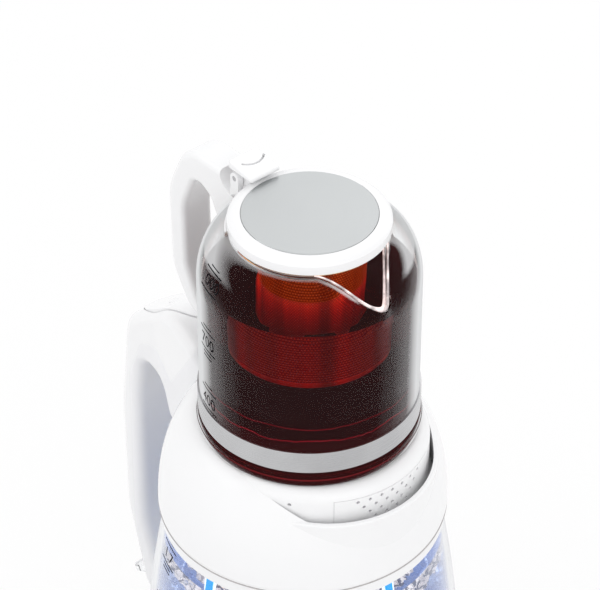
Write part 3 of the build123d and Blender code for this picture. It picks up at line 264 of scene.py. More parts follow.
def turnedMetal(name, look, values):
    made = Finish(name, {"Metallic": 1.0})
    angle, radius, z = made.polar(look["centreX"])
    if look["across"] == "disc":
        lines = made.strokes(angle * values["discAround"], radius * look["lineScale"], 0.0)
    else:
        lines = made.strokes(angle * values["wallAround"], 0.0, z * look["lineScale"])
    made.shades(look)
    made.set("Roughness", lines.swing(*look["roughness"]))
    made.bump(lines, look["lineStrength"], values["lineDepth"])
    return made.material


# the edge stops and the white diffuse colour paint a reflection on the glass edges
glassLooks = {
    "teapot_glass": {
        "colours": ((0.985, 0.99, 0.99), (0.965, 0.975, 0.975)), "scale": 26, "index": 1.47,
        "mirror": (0.03, 0.03, 0.03), "roughnessSpread": 0.004, "waveScale": 34, "waveStrength": 0.12,
        "unmirrored": 0.88, "reflectionWhite": (0.80, 0.81, 0.82),
        "edgeStops": ((0.40, 0.0), (0.50, 0.035), (0.64, 0.16), (0.72, 0.56), (0.80, 0.83))},
    "kettle_glass": {
        "colours": ((0.985, 0.99, 0.995), (0.96, 0.97, 0.98)), "scale": 18, "index": 1.47,
        "mirror": (0.25, 0.25, 0.26), "roughnessSpread": 0.05, "waveScale": 22, "waveStrength": 0.10,
        "reflectionWhite": (0.80, 0.81, 0.83), "edgeStops": ((0.60, 0.0), (0.70, 0.12), (0.80, 0.45), (0.90, 0.70))},
    "lever_plastic": {
        "colours": ((0.93, 0.94, 0.95), (0.86, 0.87, 0.89)), "scale": 90, "index": 1.49,
        "mirror": (1.0, 1.0, 1.0), "roughnessSpread": 0.10, "waveScale": 120, "waveStrength": 0.10},
}
# the first five values after the wave place the painted sheen under the teapot's rim
glassValues = {
    "filmDetail": 4, "filmLevel": 0.45, "waveDetail": 1, "waveDepth": 0.0006,
    "sheenLow": 0.3455, "sheenDepth": 0.0030, "sheenShare": 0.60, "sheenEdgeNoise": (60, 3), "sheenEdgeRise": 0.004,
    "sideStart": 0.24, "sideWidth": 0.18,
}


def blownGlass(name, look, values):
    made = Finish(name, {"Transmission Weight": 1.0, "IOR": look["index"], "Specular Tint": look["mirror"]})
    film = made.shades(look, values["filmDetail"])
    made.set("Roughness", (film - values["filmLevel"]) * look["roughnessSpread"])
    made.ripples(look["waveScale"], values["waveDetail"], look["waveStrength"], values["waveDepth"])
    if "edgeStops" in look:
        whitenEdge(made, look, values)
    return made.material


# painted reflection: glass goes white where the wall is seen along its length; teapot glass also mirrors less, and
# has a painted sheen, a white band under its rim
def whitenEdge(made, look, values):
    facing = made.node("LayerWeight", None, {"Blend": 0.5}, output=1)
    pale = made.node("ValToRGB", {"stops": look["edgeStops"]}, {"Fac": facing})
    clear = made.plain()
    if "unmirrored" in look:
        x, y, z = made.axes()
        # painted sheen: white in a band under the rim, towards the sides of the wall
        height = z + made.noise(*values["sheenEdgeNoise"]) * values["sheenEdgeRise"] - values["sheenLow"]
        side = ((facing - values["sideStart"]) / values["sideWidth"]).limited()
        rimSheen = (height / values["sheenDepth"]).limited() * values["sheenShare"] * side
        pale = pale.math("MAXIMUM", rimSheen)
        clear = made.blend(look["unmirrored"], clear, made.bent(look["colours"][0], look["index"]))
    made.show(made.blend(pale, clear, made.node("BsdfDiffuse", None, {"Color": look["reflectionWhite"]})))


boardValues = {
    "constants": {"Roughness": 0.42},
    "tracks": {"Scale": 260.0, "Distortion": 6.0}, "trackShare": 0.62,
    "colours": ((0.012, 0.10, 0.035), (0.05, 0.22, 0.08)), "bump": (0.2, 0.0002),
}


def circuitBoard(name, values):
    made = Finish(name, values["constants"])
    tracks = made.node("TexWave", {"wave_type": "BANDS"}, {"Vector": made.place, **values["tracks"]})
    made.set("Base Color", made.mix(tracks > values["trackShare"], *values["colours"]))
    made.bump(tracks, *values["bump"])
    return made.material


lightValues = {
    "constants": {"Roughness": 0.3, "Emission Strength": 2.6}, "cellScale": 300.0,
    "colours": ((0.10, 0.42, 0.90), (0.30, 0.60, 1.0)), "glow": ((0.02, 0.30, 0.95), (0.10, 0.55, 1.0)),
}


def litPlastic(name, values):
    made = Finish(name, values["constants"])
    cells = made.node("TexVoronoi", None, {"Vector": made.place, "Scale": values["cellScale"]})
    made.set("Base Color", made.mix(cells, *values["colours"]))
    made.set("Emission Color", made.mix(cells, *values["glow"]))
    return made.material


finishes = {}
for name, row in plasticLooks.items():
    finishes[name] = mouldedPlastic(name, dict(zip(plasticKeys, row)), plasticValues)
for name, row in metalLooks.items():
    finishes[name] = turnedMetal(name, dict(zip(metalKeys, row)), metalValues)
for name, look in glassLooks.items():
    finishes[name] = blownGlass(name, look, glassValues)
finishes["board_laminate"] = circuitBoard("board_laminate", boardValues)
finishes["light_plastic"] = litPlastic("light_plastic", lightValues)

for name, node in nodes.items():
    node.data.materials.clear()
    node.data.materials.append(finishes[slotOf[name]])
print("finishes on the model")


# modelling helpers
def clearSelection():
    if bpy.context.mode != "OBJECT":
        bpy.ops.object.mode_set(mode="OBJECT")
    bpy.ops.object.select_all(action="DESELECT")


def pick(*pieces):
    clearSelection()
    for piece in pieces:
        piece.select_set(True)
    bpy.context.view_layer.objects.active = pieces[0]


def joined(pieces):
    pick(*pieces)
    bpy.ops.object.join()
    return bpy.context.object


def editAll():
    bpy.ops.object.mode_set(mode="EDIT")
    bpy.ops.mesh.select_all(action="SELECT")


def closeEdit():
    bpy.ops.mesh.select_all(action="SELECT")
    bpy.ops.mesh.normals_make_consistent(inside=False)
    bpy.ops.object.mode_set(mode="OBJECT")


def applyPlace():
    bpy.ops.object.transform_apply(location=True, rotation=True, scale=True)


def thicken(piece, thickness, offset=0):
    sheet = piece.modifiers.new("sheet", "SOLIDIFY")
    sheet.thickness = thickness
    sheet.offset = offset


def outward(degrees):
    turn = math.radians(degrees)
    return Vector((math.cos(turn), math.sin(turn), 0))


def innerRadius(node, centreX, z):
    hit, place, normal, face = nodes[node].ray_cast((centreX, 0, z), (0, 1, 0))
    return place.y


def finishPiece(piece, name, body, material, smooth=38):
    pick(piece)
    applyPlace()
    for modifier in list(piece.modifiers):
        bpy.ops.object.modifier_apply(modifier=modifier.name)
    if smooth:
        bpy.ops.object.shade_smooth_by_angle(angle=math.radians(smooth))
    piece.name = name
    piece.data.name = name
    piece.data.materials.clear()
    piece.data.materials.append(material)
    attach(piece, body)


# a closed or open turned shape: one circle, extruded and resized ring by ring
def turnRings(rings, centreX, sides, closed=True):
    clearSelection()
    (radius, z), rest = rings[0], rings[1:]
    bpy.ops.mesh.primitive_circle_add(vertices=sides, radius=radius, location=(centreX, 0, z),
                                      fill_type="NGON" if closed else "NOTHING")
    piece = bpy.context.object
    bpy.ops.object.transform_apply(location=True)
    editAll()
    for nextRadius, nextZ in rest:
        bpy.ops.mesh.extrude_region_move(TRANSFORM_OT_translate={"value": (0, 0, nextZ - z)})
        scale = nextRadius / radius
        bpy.ops.transform.resize(value=(scale, scale, 1), center_override=(centreX, 0, nextZ))
        radius, z = nextRadius, nextZ
    if closed:
        bpy.ops.mesh.poke()
        closeEdit()
    else:
        bpy.ops.object.mode_set(mode="OBJECT")
    return piece


# moves the top of a liquid up and down, but not at the wall
def addWaves(liquid, centreX, top, values):
    clouds = bpy.data.textures.new("clouds", "CLOUDS")
    clouds.noise_scale = values["waveScale"]
    clouds.noise_depth = values["waveDetail"]
    low, reach = values["level"] - values["waveBand"], top - values["calmEdge"]
    group = liquid.vertex_groups.new(name="surface")
    group.add([vertex.index for vertex in liquid.data.vertices
               if vertex.co.z > low and math.hypot(vertex.co.x - centreX, vertex.co.y) < reach], 1.0, "REPLACE")
    waves = liquid.modifiers.new("waves", "DISPLACE")
    waves.texture = clouds
    waves.direction = "Z"
    waves.mid_level = 0.5
    waves.strength = values["waveHeight"]
    waves.vertex_group = "surface"


# tea in the teapot; it glows with painted light, with painted caustic lines and a painted highlight line low in the
# foot
teaValues = {
    "gap": 0.00015, "wallHeights": (0.30, 0.3265, 0.3285, 0.330), "level": 0.3312, "sides": 128,
    "rimInset": 0.0007, "rimDrop": 0.0006, "flatDrop": 0.0009, "flatStep": 0.0045, "flatRings": 7,
    "footLow": 0.2388, "footHigh": 0.2461, "footRadius": 0.0563, "footEdge": 0.0010,
    "ledgeZ": 0.24305, "ledgeOut": 0.0004, "ledgeUp": 0.0008,
    "waveScale": 0.018, "waveDetail": 2, "waveHeight": 0.0009, "waveBand": 0.0012, "calmEdge": 0.004,
    "index": 1.333, "mirror": (0.03, 0.02, 0.02), "unmirrored": 0.88, "swirl": (38, 4),
    "ripples": (90, 2, 0.10, 0.0006),
    "bodyColours": ((0.93, 0.40, 0.30), (0.88, 0.28, 0.20)), "footColour": (0.42, 0.06, 0.055), "footTop": 0.2471,
    "bodyBent": (0.951, 0.583, 0.50), "footBent": (0.648, 0.245, 0.2345),
    "glows": ((0.018, 0.0070, 0.0072), (0.027, 0.0076, 0.0082)), "footGlow": (0.022, 0.0060, 0.0065),
    "causticGlow": (0.34, 0.012, 0.024), "ridgeHighlight": (0.22, 0.020, 0.025),
    "streakAround": 2.2, "streakPlace": 3.0, "lowerCaustic": (0.2655, 0.010), "upperCaustic": (0.2735, -0.005),
    "upperShare": 0.6, "ridge": 0.2425, "causticWidth": 0.00035,
    "depth": {"Color": (0.72, 0.05, 0.03), "Density": 160.0},
}


def teaFinish(values):
    index, unmirrored = values["index"], values["unmirrored"]
    made = Finish("brewedTea", {"Transmission Weight": 1.0, "IOR": index, "Specular Tint": values["mirror"],
                                "Roughness": 0.0, "Emission Strength": 1.0 / (1.0 - unmirrored)})
    made.ripples(*values["ripples"])
    angle, radius, z = made.polar(potAxis)
    foot = z < values["footTop"]
    clear = made.mix(made.noise(*values["swirl"]), *values["bodyColours"])
    made.set("Base Color", made.mix(foot, clear, values["footColour"]))
    # painted caustics: two wavy bright lines round the tea, and a painted highlight line at the ridge height
    streak = made.strokes(angle * values["streakAround"], values["streakPlace"], 0.0)
    aboveLower = z - streak.swing(*values["lowerCaustic"])
    aboveUpper = z - streak.swing(*values["upperCaustic"])
    lower, upper, ridge = [(height / values["causticWidth"]).math("ABSOLUTE") < 1.0
                           for height in (aboveLower, aboveUpper, z - values["ridge"])]
    line = (lower + upper * values["upperShare"]) * streak
    glow = made.mix(foot, made.mix(aboveLower < 0.0, *values["glows"]), values["footGlow"])
    glow = made.mix(line.math("MINIMUM", 1.0), glow, values["causticGlow"])
    made.set("Emission Color", made.mix(ridge, glow, values["ridgeHighlight"]))
    bent = made.blend(foot, made.bent(values["bodyBent"], index), made.bent(values["footBent"], index))
    made.show(made.blend(unmirrored, made.plain(), bent))
    depth = made.node("VolumeAbsorption", None, values["depth"])
    made.tree.links.new(depth.socket, made.exit.inputs["Volume"])
    return made.material


def makeTea(values):
    level, gap, inset = values["level"], values["gap"], values["rimInset"]
    wall = [(innerRadius("teapot_glass", potAxis, z) - gap, z) for z in (*values["wallHeights"], level)]
    top = wall[-1][0]
    surface = [(top - inset, level - values["rimDrop"])]
    surface += [(top - inset - step * values["flatStep"], level - values["flatDrop"])
                for step in range(1, values["flatRings"] + 1)]
    radius, low, high, edge = [values[key] for key in ("footRadius", "footLow", "footHigh", "footEdge")]
    ledge = innerRadius("teapot_glass", potAxis, values["ledgeZ"]) - gap + values["ledgeOut"]
    foot = [(radius - edge, low), (radius, low + edge), (radius, high), (ledge, high + values["ledgeUp"])]
    tea = turnRings(foot + wall + surface, potAxis, values["sides"])
    addWaves(tea, potAxis, top, values)
    finishPiece(tea, "brewed_tea", "teapot", teaFinish(values))


makeTea(teaValues)
print("tea poured")


# infuser, a perforated cup that hangs in the neck
infuserValues = {
    "low": 0.2842, "top": 0.3568, "wall": 0.0005, "topRadius": 0.0293, "footRadius": 0.0264, "sides": 96,
    "floorRings": (0.004, 0.014), "footCurve": ((0.0030, 0), (0.0012, 0.0005), (0.0003, 0.0015), (0, 0.0032)),
    "waist": 0.0281, "waistDrop": 0.006, "waistSteps": 12, "mouthTuck": 0.0002, "mouthRise": 0.0035,
    "centreHole": 0.0045,
    "holeStep": 0.0015, "rowStep": 0.0015, "wallHole": (0.75, 1.9, 0.115), "floorHole": 0.08,
    "wallEdge": 0.0035, "band": 0.0075, "floorTop": 0.0012, "floorEdge": 0.004, "grooveShadeSlope": 4.2,
    "level": 0.3312, "levelBlur": 0.004, "strokeAround": 3.0, "strokeScale": 2600.0,
    "stripeAround": 3.4, "stripePlace": 7.0, "stripeDetail": 2, "stripeContrast": (0.38, 3.4), "warm": (44, 3),
    "bare": ((0.62, 0.26, 0.10), (0.50, 0.18, 0.06), (0.12, 0.02, 0.01)),  # two shades, and the painted shade of the grooves between rows
    "dry": ((0.17, 0.014, 0.003), (0.36, 0.034, 0.004), (0.05, 0.004, 0.001)),
    "soaked": ((0.22, 0.016, 0.006), (0.90, 0.066, 0.020), (0.10, 0.006, 0.003)),
    "goldHighlightLine": 0.0042, "goldHighlight": (0.62, 0.30, 0.04), "roughness": (0.30, 0.2), "strokeBump": (0.2, 0.0002),
}


def infuserFinish(values):
    made = Finish("infuserSteel", {"Metallic": 1.0, "Emission Strength": 1.0})
    low, top, step = values["low"], values["top"], values["holeStep"]
    angle, radius, z = made.polar(potAxis)
    row = (z - low) / values["rowStep"]
    odd = row.math("FLOOR") % 2.0
    wallX = (angle * (values["topRadius"] / step) + odd * 0.5) % 1.0 - 0.5
    wallY = row % 1.0 - 0.5
    wide, tall, size = values["wallHole"]
    wallHole = (wallX * wallX * wide + wallY * wallY * tall) < size
    x, y, height = made.axes()
    floorX, floorY = ((x - potAxis) / step) % 1.0 - 0.5, (y / step) % 1.0 - 0.5
    floorHole = (floorX * floorX + floorY * floorY) < values["floorHole"]
    onWall = (z > low + values["wallEdge"]) * (z < top - values["band"])
    onFloor = (z < low + values["floorTop"]) * (radius < values["footRadius"] - values["floorEdge"])
    made.set("Alpha", 1 - (wallHole * onWall + floorHole * onFloor))
    # painted shade: colour darkens towards the grooves between the rows of holes
    groove = (wallY * wallY * values["grooveShadeSlope"]).math("MINIMUM", 1.0) * onWall
    # painted light: the cup glows, brighter in the tea than above it, with a painted gold highlight along its top
    belowLevel = ((values["level"] - z) / values["levelBlur"]).limited()
    stripes = made.strokes(angle * values["stripeAround"], values["stripePlace"], 0.0, values["stripeDetail"])
    stripes = stripes.sharp(*values["stripeContrast"])
    bare, dry, soaked = [made.mix(groove, made.mix(noise, *values[key][:2]), values[key][2]) for key, noise in
                         (("bare", made.noise(*values["warm"])), ("dry", stripes), ("soaked", stripes))]
    made.set("Base Color", bare)
    goldHighlight = z > top - values["goldHighlightLine"]
    made.set("Emission Color", made.mix(goldHighlight, made.mix(belowLevel, dry, soaked), values["goldHighlight"]))
    strokes = made.strokes(angle * values["strokeAround"], 0.0, z * values["strokeScale"])
    made.set("Roughness", strokes.swing(*values["roughness"]))
    made.bump(strokes, *values["strokeBump"])
    return made.material


def makeInfuser(values):
    low, top, foot, mouth = [values[key] for key in ("low", "top", "footRadius", "topRadius")]
    rings = [(radius, low) for radius in values["floorRings"]]
    rings += [(foot - inset, low + rise) for inset, rise in values["footCurve"]]
    wallLow, wallHigh, steps = rings[-1][1], top - values["waistDrop"], values["waistSteps"]
    rings += [(foot + (values["waist"] - foot) * step / steps, wallLow + (wallHigh - wallLow) * step / steps)
              for step in range(1, steps + 1)]
    rings += [(mouth - values["mouthTuck"], wallHigh + values["mouthRise"]), (mouth, top)]
    cup = turnRings(rings, potAxis, values["sides"], closed=False)
    editAll()
    bpy.ops.mesh.select_all(action="DESELECT")
    mesh = bmesh.from_edit_mesh(cup.data)
    for edge in mesh.edges:
        inside = all(math.hypot(vertex.co.x - potAxis, vertex.co.y) < values["centreHole"] for vertex in edge.verts)
        edge.select_set(inside and edge.is_boundary)
    bmesh.update_edit_mesh(cup.data)
    bpy.ops.mesh.edge_face_add()
    bpy.ops.mesh.poke()
    closeEdit()
    thicken(cup, values["wall"])
    finishPiece(cup, "infuser_mesh", "teapot", infuserFinish(values))
    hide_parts("infuser_basket")


makeInfuser(infuserValues)
print("infuser made")


# boiling water in the kettle; its blue emission is painted light
waterValues = {
    "gap": 0.00015, "floor": 0.0531, "floorEdge": 0.0004, "wallHeights": (0.0535, 0.075, 0.10, 0.125, 0.145),
    "level": 0.1600, "rimInset": 0.0010, "flatDrop": 0.0005, "flatStep": 0.0030, "flatRings": 23, "sides": 128,
    "waveScale": 0.014, "waveDetail": 3, "waveHeight": 0.011, "waveBand": 0.001, "calmEdge": 0.003,
    "constants": {"Transmission Weight": 0.86, "IOR": 1.333, "Emission Strength": 1.0},
    "scale": 30, "swirlDetail": 4, "rough": (0.0, 0.05), "ripples": (130, 4, 0.5, 0.0012),
    # glow: painted light, a blue glow in the water
    "colours": ((0.62, 0.74, 1.0), (0.70, 0.84, 1.0)), "glow": ((0.028, 0.036, 0.10), (0.030, 0.052, 0.12)),
}


def makeWater(values):
    made = Finish("boilingWater", values["constants"])
    made.shades(values, values["swirlDetail"])
    made.ripples(*values["ripples"])
    level = values["level"]
    wall = [(innerRadius("kettle_glass", 0, z) - values["gap"], z) for z in (*values["wallHeights"], level)]
    top = wall[-1][0]
    floor = [(wall[0][0] - values["floorEdge"], values["floor"])]
    surface = [(top - values["rimInset"] - step * values["flatStep"], level - values["flatDrop"])
               for step in range(values["flatRings"])]
    water = turnRings(floor + wall + surface, 0.0, values["sides"])
    addWaves(water, 0.0, top, values)
    finishPiece(water, "boiling_water", "kettle", made.material, smooth=60)


# its bubbles
bubbleValues = {
    "seed": 11, "count": 260, "radius": (0.0008, 0.0030), "smallness": 2.2, "low": 0.0571, "height": 0.0949,
    "clearance": 0.001, "hollow": 0.25, "flatness": (0.75, 0.4), "segments": 10, "rings": 6,
    "constants": {"Transmission Weight": 1.0, "IOR": 1.16, "Roughness": 0.0},
    "scale": 400, "colours": ((0.90, 0.94, 1.0), (0.72, 0.80, 0.95)), "bump": (0.3, 0.0003),
}


def makeBubbles(values):
    made = Finish("waterBubbles", values["constants"])
    made.bump(made.shades(values), *values["bump"])
    chance = random.Random(values["seed"])
    (small, large), (flat, swell), hollow = values["radius"], values["flatness"], values["hollow"]
    clearSelection()
    bpy.ops.mesh.primitive_uv_sphere_add(segments=values["segments"], ring_count=values["rings"], radius=1.0)
    ball = bpy.context.object
    bubbles = []
    for count in range(values["count"]):
        size = small + (large - small) * chance.random() ** values["smallness"]
        z = values["low"] + values["height"] * chance.random()
        reach = innerRadius("kettle_glass", 0, z) - values["clearance"] - size
        spread = reach * math.sqrt(chance.random() * (1 - hollow) + hollow)
        turn = chance.random() * math.tau
        bubble = ball.copy()
        bubble.data = ball.data.copy()
        bpy.context.collection.objects.link(bubble)
        bubble.location = (spread * math.cos(turn), spread * math.sin(turn), z)
        bubble.scale = (size, size, size * (flat + swell * chance.random()))
        bubbles.append(bubble)
    bpy.data.objects.remove(ball)
    finishPiece(joined(bubbles), "water_bubbles", "kettle", made.material, smooth=80)


# froth on the water, crumpled and creased; it glows with painted light, with painted shade in its creases and
# painted highlight patches
frothValues = {
    "level": 0.1604, "radius": 0.0640, "rimInset": 0.0005, "sides": 170, "rings": 36,
    "under": ((0.30, 0.034), (0.52, 0.033), (0.70, 0.031), (0.80, 0.029), (0.87, 0.027), (0.91, 0.025),
              (0.94, 0.0225), (0.965, 0.0195), (0.98, 0.0155), (0.99, 0.011), (1.0, 0.006), (1.0, 0.0015)),
    "ridgeScale": 0.010, "ridgeLevel": 1.1, "swell": 0.0055,
    "constants": {"IOR": 1.33, "Transmission Weight": 0.15, "Roughness": 0.25, "Emission Strength": 0.80},
    "push": {"Scale": 120.0, "Detail": 3.0}, "twist": 0.010,
    "creaseScale": 105.0, "creaseWidth": 0.085, "fineScale": 241.5, "fineWidth": 0.0425, "fineShare": 0.6,
    "highlightNoise": (150, 3), "highlightContrast": (0.4, 4.0), "wetTop": 0.1594, "bump": (0.8, 0.002),
    "grey": ((0.46, 0.47, 0.49), (0.56, 0.45, 0.36)),  # above and below wetTop, as the next two
    "white": ((0.88, 0.89, 0.91), (0.98, 0.82, 0.66)),
    "creaseShade": ((0.20, 0.20, 0.21), (0.06, 0.045, 0.035)),
}


def frothFinish(values):
    made = Finish("waterFroth", values["constants"])
    push = made.node("TexNoise", None, {"Vector": made.place, **values["push"]}, output=1)
    push = made.node("VectorMath", {"operation": "SCALE"}, {0: push, "Scale": values["twist"]})
    place = made.node("VectorMath", {"operation": "ADD"}, {0: made.place, 1: push})
    creases, fine = [made.node("TexVoronoi", {"feature": "DISTANCE_TO_EDGE"}, {"Vector": place, "Scale": scale})
                     for scale in (values["creaseScale"], values["fineScale"])]
    # painted shade along the creases, and painted highlights where the patch noise is high
    shadeLines = (creases < values["creaseWidth"]) + (fine < values["fineWidth"]) * values["fineShare"]
    highlightPatches = made.noise(*values["highlightNoise"], place).sharp(*values["highlightContrast"])
    x, y, z = made.axes()
    belowLevel = z < values["wetTop"]
    grey, white, creaseShade = [made.mix(belowLevel, *values[key]) for key in ("grey", "white", "creaseShade")]
    crumpled = made.mix(shadeLines.math("MINIMUM", 1.0), made.mix(highlightPatches, grey, white), creaseShade)
    made.set("Base Color", crumpled)
    made.set("Emission Color", crumpled)
    made.bump(creases, *values["bump"])
    return made.material


def makeFroth(values):
    radius, level = values["radius"], values["level"]
    inner = radius / values["rings"]
    rings = [(radius * share, level - drop) for share, drop in values["under"]]
    rings += [(radius - values["rimInset"] - step * inner, level) for step in range(values["rings"] - 1)]
    froth = turnRings(rings, 0.0, values["sides"])
    ridges = bpy.data.textures.new("frothRidges", "MUSGRAVE")
    ridges.musgrave_type = "RIDGED_MULTIFRACTAL"
    ridges.noise_scale = values["ridgeScale"]
    heave = froth.modifiers.new("heave", "DISPLACE")
    heave.texture = ridges
    heave.direction = "NORMAL"
    heave.mid_level = values["ridgeLevel"]
    heave.strength = values["swell"]
    finishPiece(froth, "water_froth", "kettle", frothFinish(values), smooth=60)


# shadow gap round the foot of the dome
seamValues = {
    "radius": 0.07506, "height": 0.1797, "gap": 0.00045, "depth": 0.0012, "thick": 0.0001, "sides": 180,
    "constants": {"Roughness": 0.8}, "scale": 500, "colours": ((0.40, 0.38, 0.38), (0.50, 0.48, 0.48)),
}


def makeSeam(values):
    made = Finish("shadowGap", values["constants"])
    made.shades(values)
    outer, inner = values["radius"], values["radius"] - values["depth"]
    low, high = values["height"] - values["gap"] / 2, values["height"] + values["gap"] / 2
    rings = [(inner, low), (outer, low), (outer, high), (inner, high)]
    seam = turnRings(rings, 0.0, values["sides"], closed=False)
    thicken(seam, values["thick"], offset=-1)
    finishPiece(seam, "dome_seam", "kettle", made.material, smooth=30)


# light guides that stand in the water against the wall, blue strips before wider white ones
guideValues = {
    "angles": (-82.0, -2.0, 98.0, 178.0), "low": 0.0600, "high": 0.1690, "thick": 0.0006, "cuts": 16,
    "strips": {
        "light_guide_core": {"width": 0.0042, "depth": 0.0009, "scale": 160,
                             "colours": ((0.0, 0.24, 0.60), (0.0, 0.30, 0.68)),
                             "constants": {"Roughness": 0.3, "Emission Strength": 0.9}},
        "light_guide_edge": {"width": 0.0070, "depth": 0.0017, "scale": 160,
                             "colours": ((0.80, 0.86, 0.95), (0.92, 0.95, 1.0)),
                             "constants": {"Roughness": 0.3, "Emission Strength": 0.8}},
    },
}


def makeGuides(name, look, values):
    made = Finish(name, look["constants"])
    made.shades({**look, "glow": look["colours"]})
    height = values["high"] - values["low"]
    strips = []
    for angle in values["angles"]:
        clearSelection()
        bpy.ops.mesh.primitive_plane_add(size=1)
        strip = bpy.context.object
        editAll()
        bpy.ops.mesh.subdivide(number_cuts=values["cuts"])
        bpy.ops.object.mode_set(mode="OBJECT")
        strip.scale = (look["width"], height, 1)
        strip.rotation_euler = (math.pi / 2, 0, math.radians(angle) + math.pi / 2)
        strip.location = (0, 0, values["low"] + height / 2)
        applyPlace()
        for vertex in strip.data.vertices:
            vertex.co += outward(angle) * (innerRadius("kettle_glass", 0, vertex.co.z) - look["depth"])
        thicken(strip, values["thick"])
        bpy.ops.object.modifier_apply(modifier="sheet")
        strips.append(strip)
    finishPiece(joined(strips), name, "kettle", made.material, smooth=30)


makeWater(waterValues)
makeBubbles(bubbleValues)
makeFroth(frothValues)
makeSeam(seamValues)
for name, look in guideValues["strips"].items():
    makeGuides(name, look, guideValues)
print("water boiling")


# level numbers and ticks printed on the glass
markValues = {
    "lift": 0.00006, "start": 0.0004, "outside": 0.2, "textSize": 0.0092,
    "tickLength": 0.016, "tickHeight": 0.0008, "tickCuts": 6,
    "ticks": ((0.0092, 0.55), (0.0066, 1.0), (-0.0052, 1.0), (-0.0074, 0.55), (-0.0096, 0.55)),
    "constants": {"Specular IOR Level": 0.0}, "scale": 900, "wearDetail": 3, "rough": (0.75, 0.2),
    "colours": ((0.006, 0.006, 0.007), (0.02, 0.02, 0.022)),
    "teapot": {"glass": "teapot_glass", "axisX": potAxis, "angle": -104.0,
               "rows": (("1000", 0.3405), ("700", 0.3040), ("400", 0.2665))},
    "kettle": {"glass": "kettle_glass", "axisX": 0.0, "angle": -109.0,
               "rows": (("1.7", 0.1600), ("1.2", 0.1240), ("0.7", 0.0880))},
}


# a number and its ticks, flat and about the origin
def drawMark(words, values):
    clearSelection()
    bpy.ops.object.text_add()
    text = bpy.context.object
    text.data.body = words
    text.data.size = values["textSize"]
    text.data.align_x = "CENTER"
    text.data.align_y = "CENTER"
    parts = [text]
    for offset, share in values["ticks"]:
        bpy.ops.mesh.primitive_plane_add(size=1, location=(0, offset, 0))
        tick = bpy.context.object
        tick.scale = (values["tickLength"] * share, values["tickHeight"], 1)
        bpy.ops.object.transform_apply(scale=True)
        editAll()
        bpy.ops.mesh.subdivide(number_cuts=values["tickCuts"])
        bpy.ops.object.mode_set(mode="OBJECT")
        parts.append(tick)
    pick(*parts)
    bpy.ops.object.convert(target="MESH")
    bpy.ops.object.join()
    applyPlace()
    return bpy.context.object


def printMarks(body, values):
    scale = values[body]
    glass, out = nodes[scale["glass"]], outward(scale["angle"])
    facing = Matrix(((-out.y, 0, out.x), (out.x, 0, out.y), (0, 1, 0))).to_4x4()
    marks = []
    for words, z in scale["rows"]:
        start = Vector((scale["axisX"], 0, z)) + out * values["outside"]
        hit, place, normal, face = glass.ray_cast(start, -out)
        mark = drawMark(words, values)
        mark.matrix_world = Matrix.Translation(place + out * values["start"]) @ facing
        applyPlace()
        wrap = mark.modifiers.new("wrap", "SHRINKWRAP")
        wrap.target = glass
        wrap.wrap_method = "NEAREST_SURFACEPOINT"
        wrap.wrap_mode = "OUTSIDE_SURFACE"
        wrap.offset = values["lift"]
        bpy.ops.object.modifier_apply(modifier="wrap")
        marks.append(mark)
    finishPiece(joined(marks), body + "_level_marks", body, markPrint.material, smooth=0)


markPrint = Finish("markPrint", markValues["constants"])
markPrint.shades(markValues, markValues["wearDetail"])
for body in ("teapot", "kettle"):
    printMarks(body, markValues)
print("level marks printed")


# plain signs on the buttons: a cup, two bubbles and a small sun
sunRays = [(0.0011, 0.0004, 0.0026 * math.cos(turn), 0.0026 * math.sin(turn), turn)
           for turn in [math.tau * step / 8 for step in range(8)]]
iconValues = {
    "origin": (0.0, -0.0995, 0.0210), "tilt": 17.97, "offset": -0.0015, "above": 0.03,
    "lift": 0.00004, "thick": 0.00012, "ringSides": 28,
    "places": {"tea_button": -0.026, "boil_button": 0.0, "keep_warm_button": 0.026},
    "shapes": {  # a ring has a radius, width, x and y; a bar a width, height, x, y and turn
        "tea_button": ((0.0042, 0.0024, 0, 0, 0), (0.0030, 0.0009, 0, -0.0015, 0), (0.0011, 0.00035, 0.0023, 0.0001),
                       (0.0060, 0.0004, 0, -0.0026, 0), (0.0004, 0.0013, -0.0009, 0.0024, 0),
                       (0.0004, 0.0013, 0.0009, 0.0024, 0)),
        "boil_button": ((0.0021, 0.00045, -0.0005, -0.0006), (0.0011, 0.0004, 0.0018, 0.0020)),
        "keep_warm_button": ((0.0015, 0.00045, 0, 0), *sunRays),
    },
}


def flatRing(sides, radius, width, x, y):
    clearSelection()
    bpy.ops.mesh.primitive_circle_add(vertices=sides, radius=radius, location=(x, y, 0), fill_type="NGON")
    editAll()
    bpy.ops.mesh.inset(thickness=width)
    bpy.ops.mesh.delete(type="FACE")
    bpy.ops.object.mode_set(mode="OBJECT")
    return bpy.context.object


def flatBar(width, height, x, y, turn):
    clearSelection()
    bpy.ops.mesh.primitive_plane_add(size=1, location=(x, y, 0), rotation=(0, 0, turn))
    bpy.context.object.scale = (width, height, 1)
    return bpy.context.object


def makeIcon(name, values):
    icon = joined([flatBar(*shape) if len(shape) == 5 else flatRing(values["ringSides"], *shape)
                   for shape in values["shapes"][name]])
    applyPlace()
    tilt = math.radians(values["tilt"])
    side, up = Vector((1, 0, 0)), Vector((0, math.cos(tilt), math.sin(tilt)))
    out = side.cross(up)
    top = Vector(values["origin"]) + side * values["places"][name] + up * values["offset"]
    hit, place, normal, face = nodes[name].ray_cast(top + out * values["above"], -out)
    icon.matrix_world = Matrix.Translation(place + out * values["lift"]) @ Matrix((
        (side.x, up.x, out.x), (side.y, up.y, out.y), (side.z, up.z, out.z))).to_4x4()
    thicken(icon, values["thick"])
    finishPiece(icon, name + "_sign", name, markPrint.material, smooth=0)


for name in iconValues["places"]:
    makeIcon(name, iconValues)
print("button signs placed")


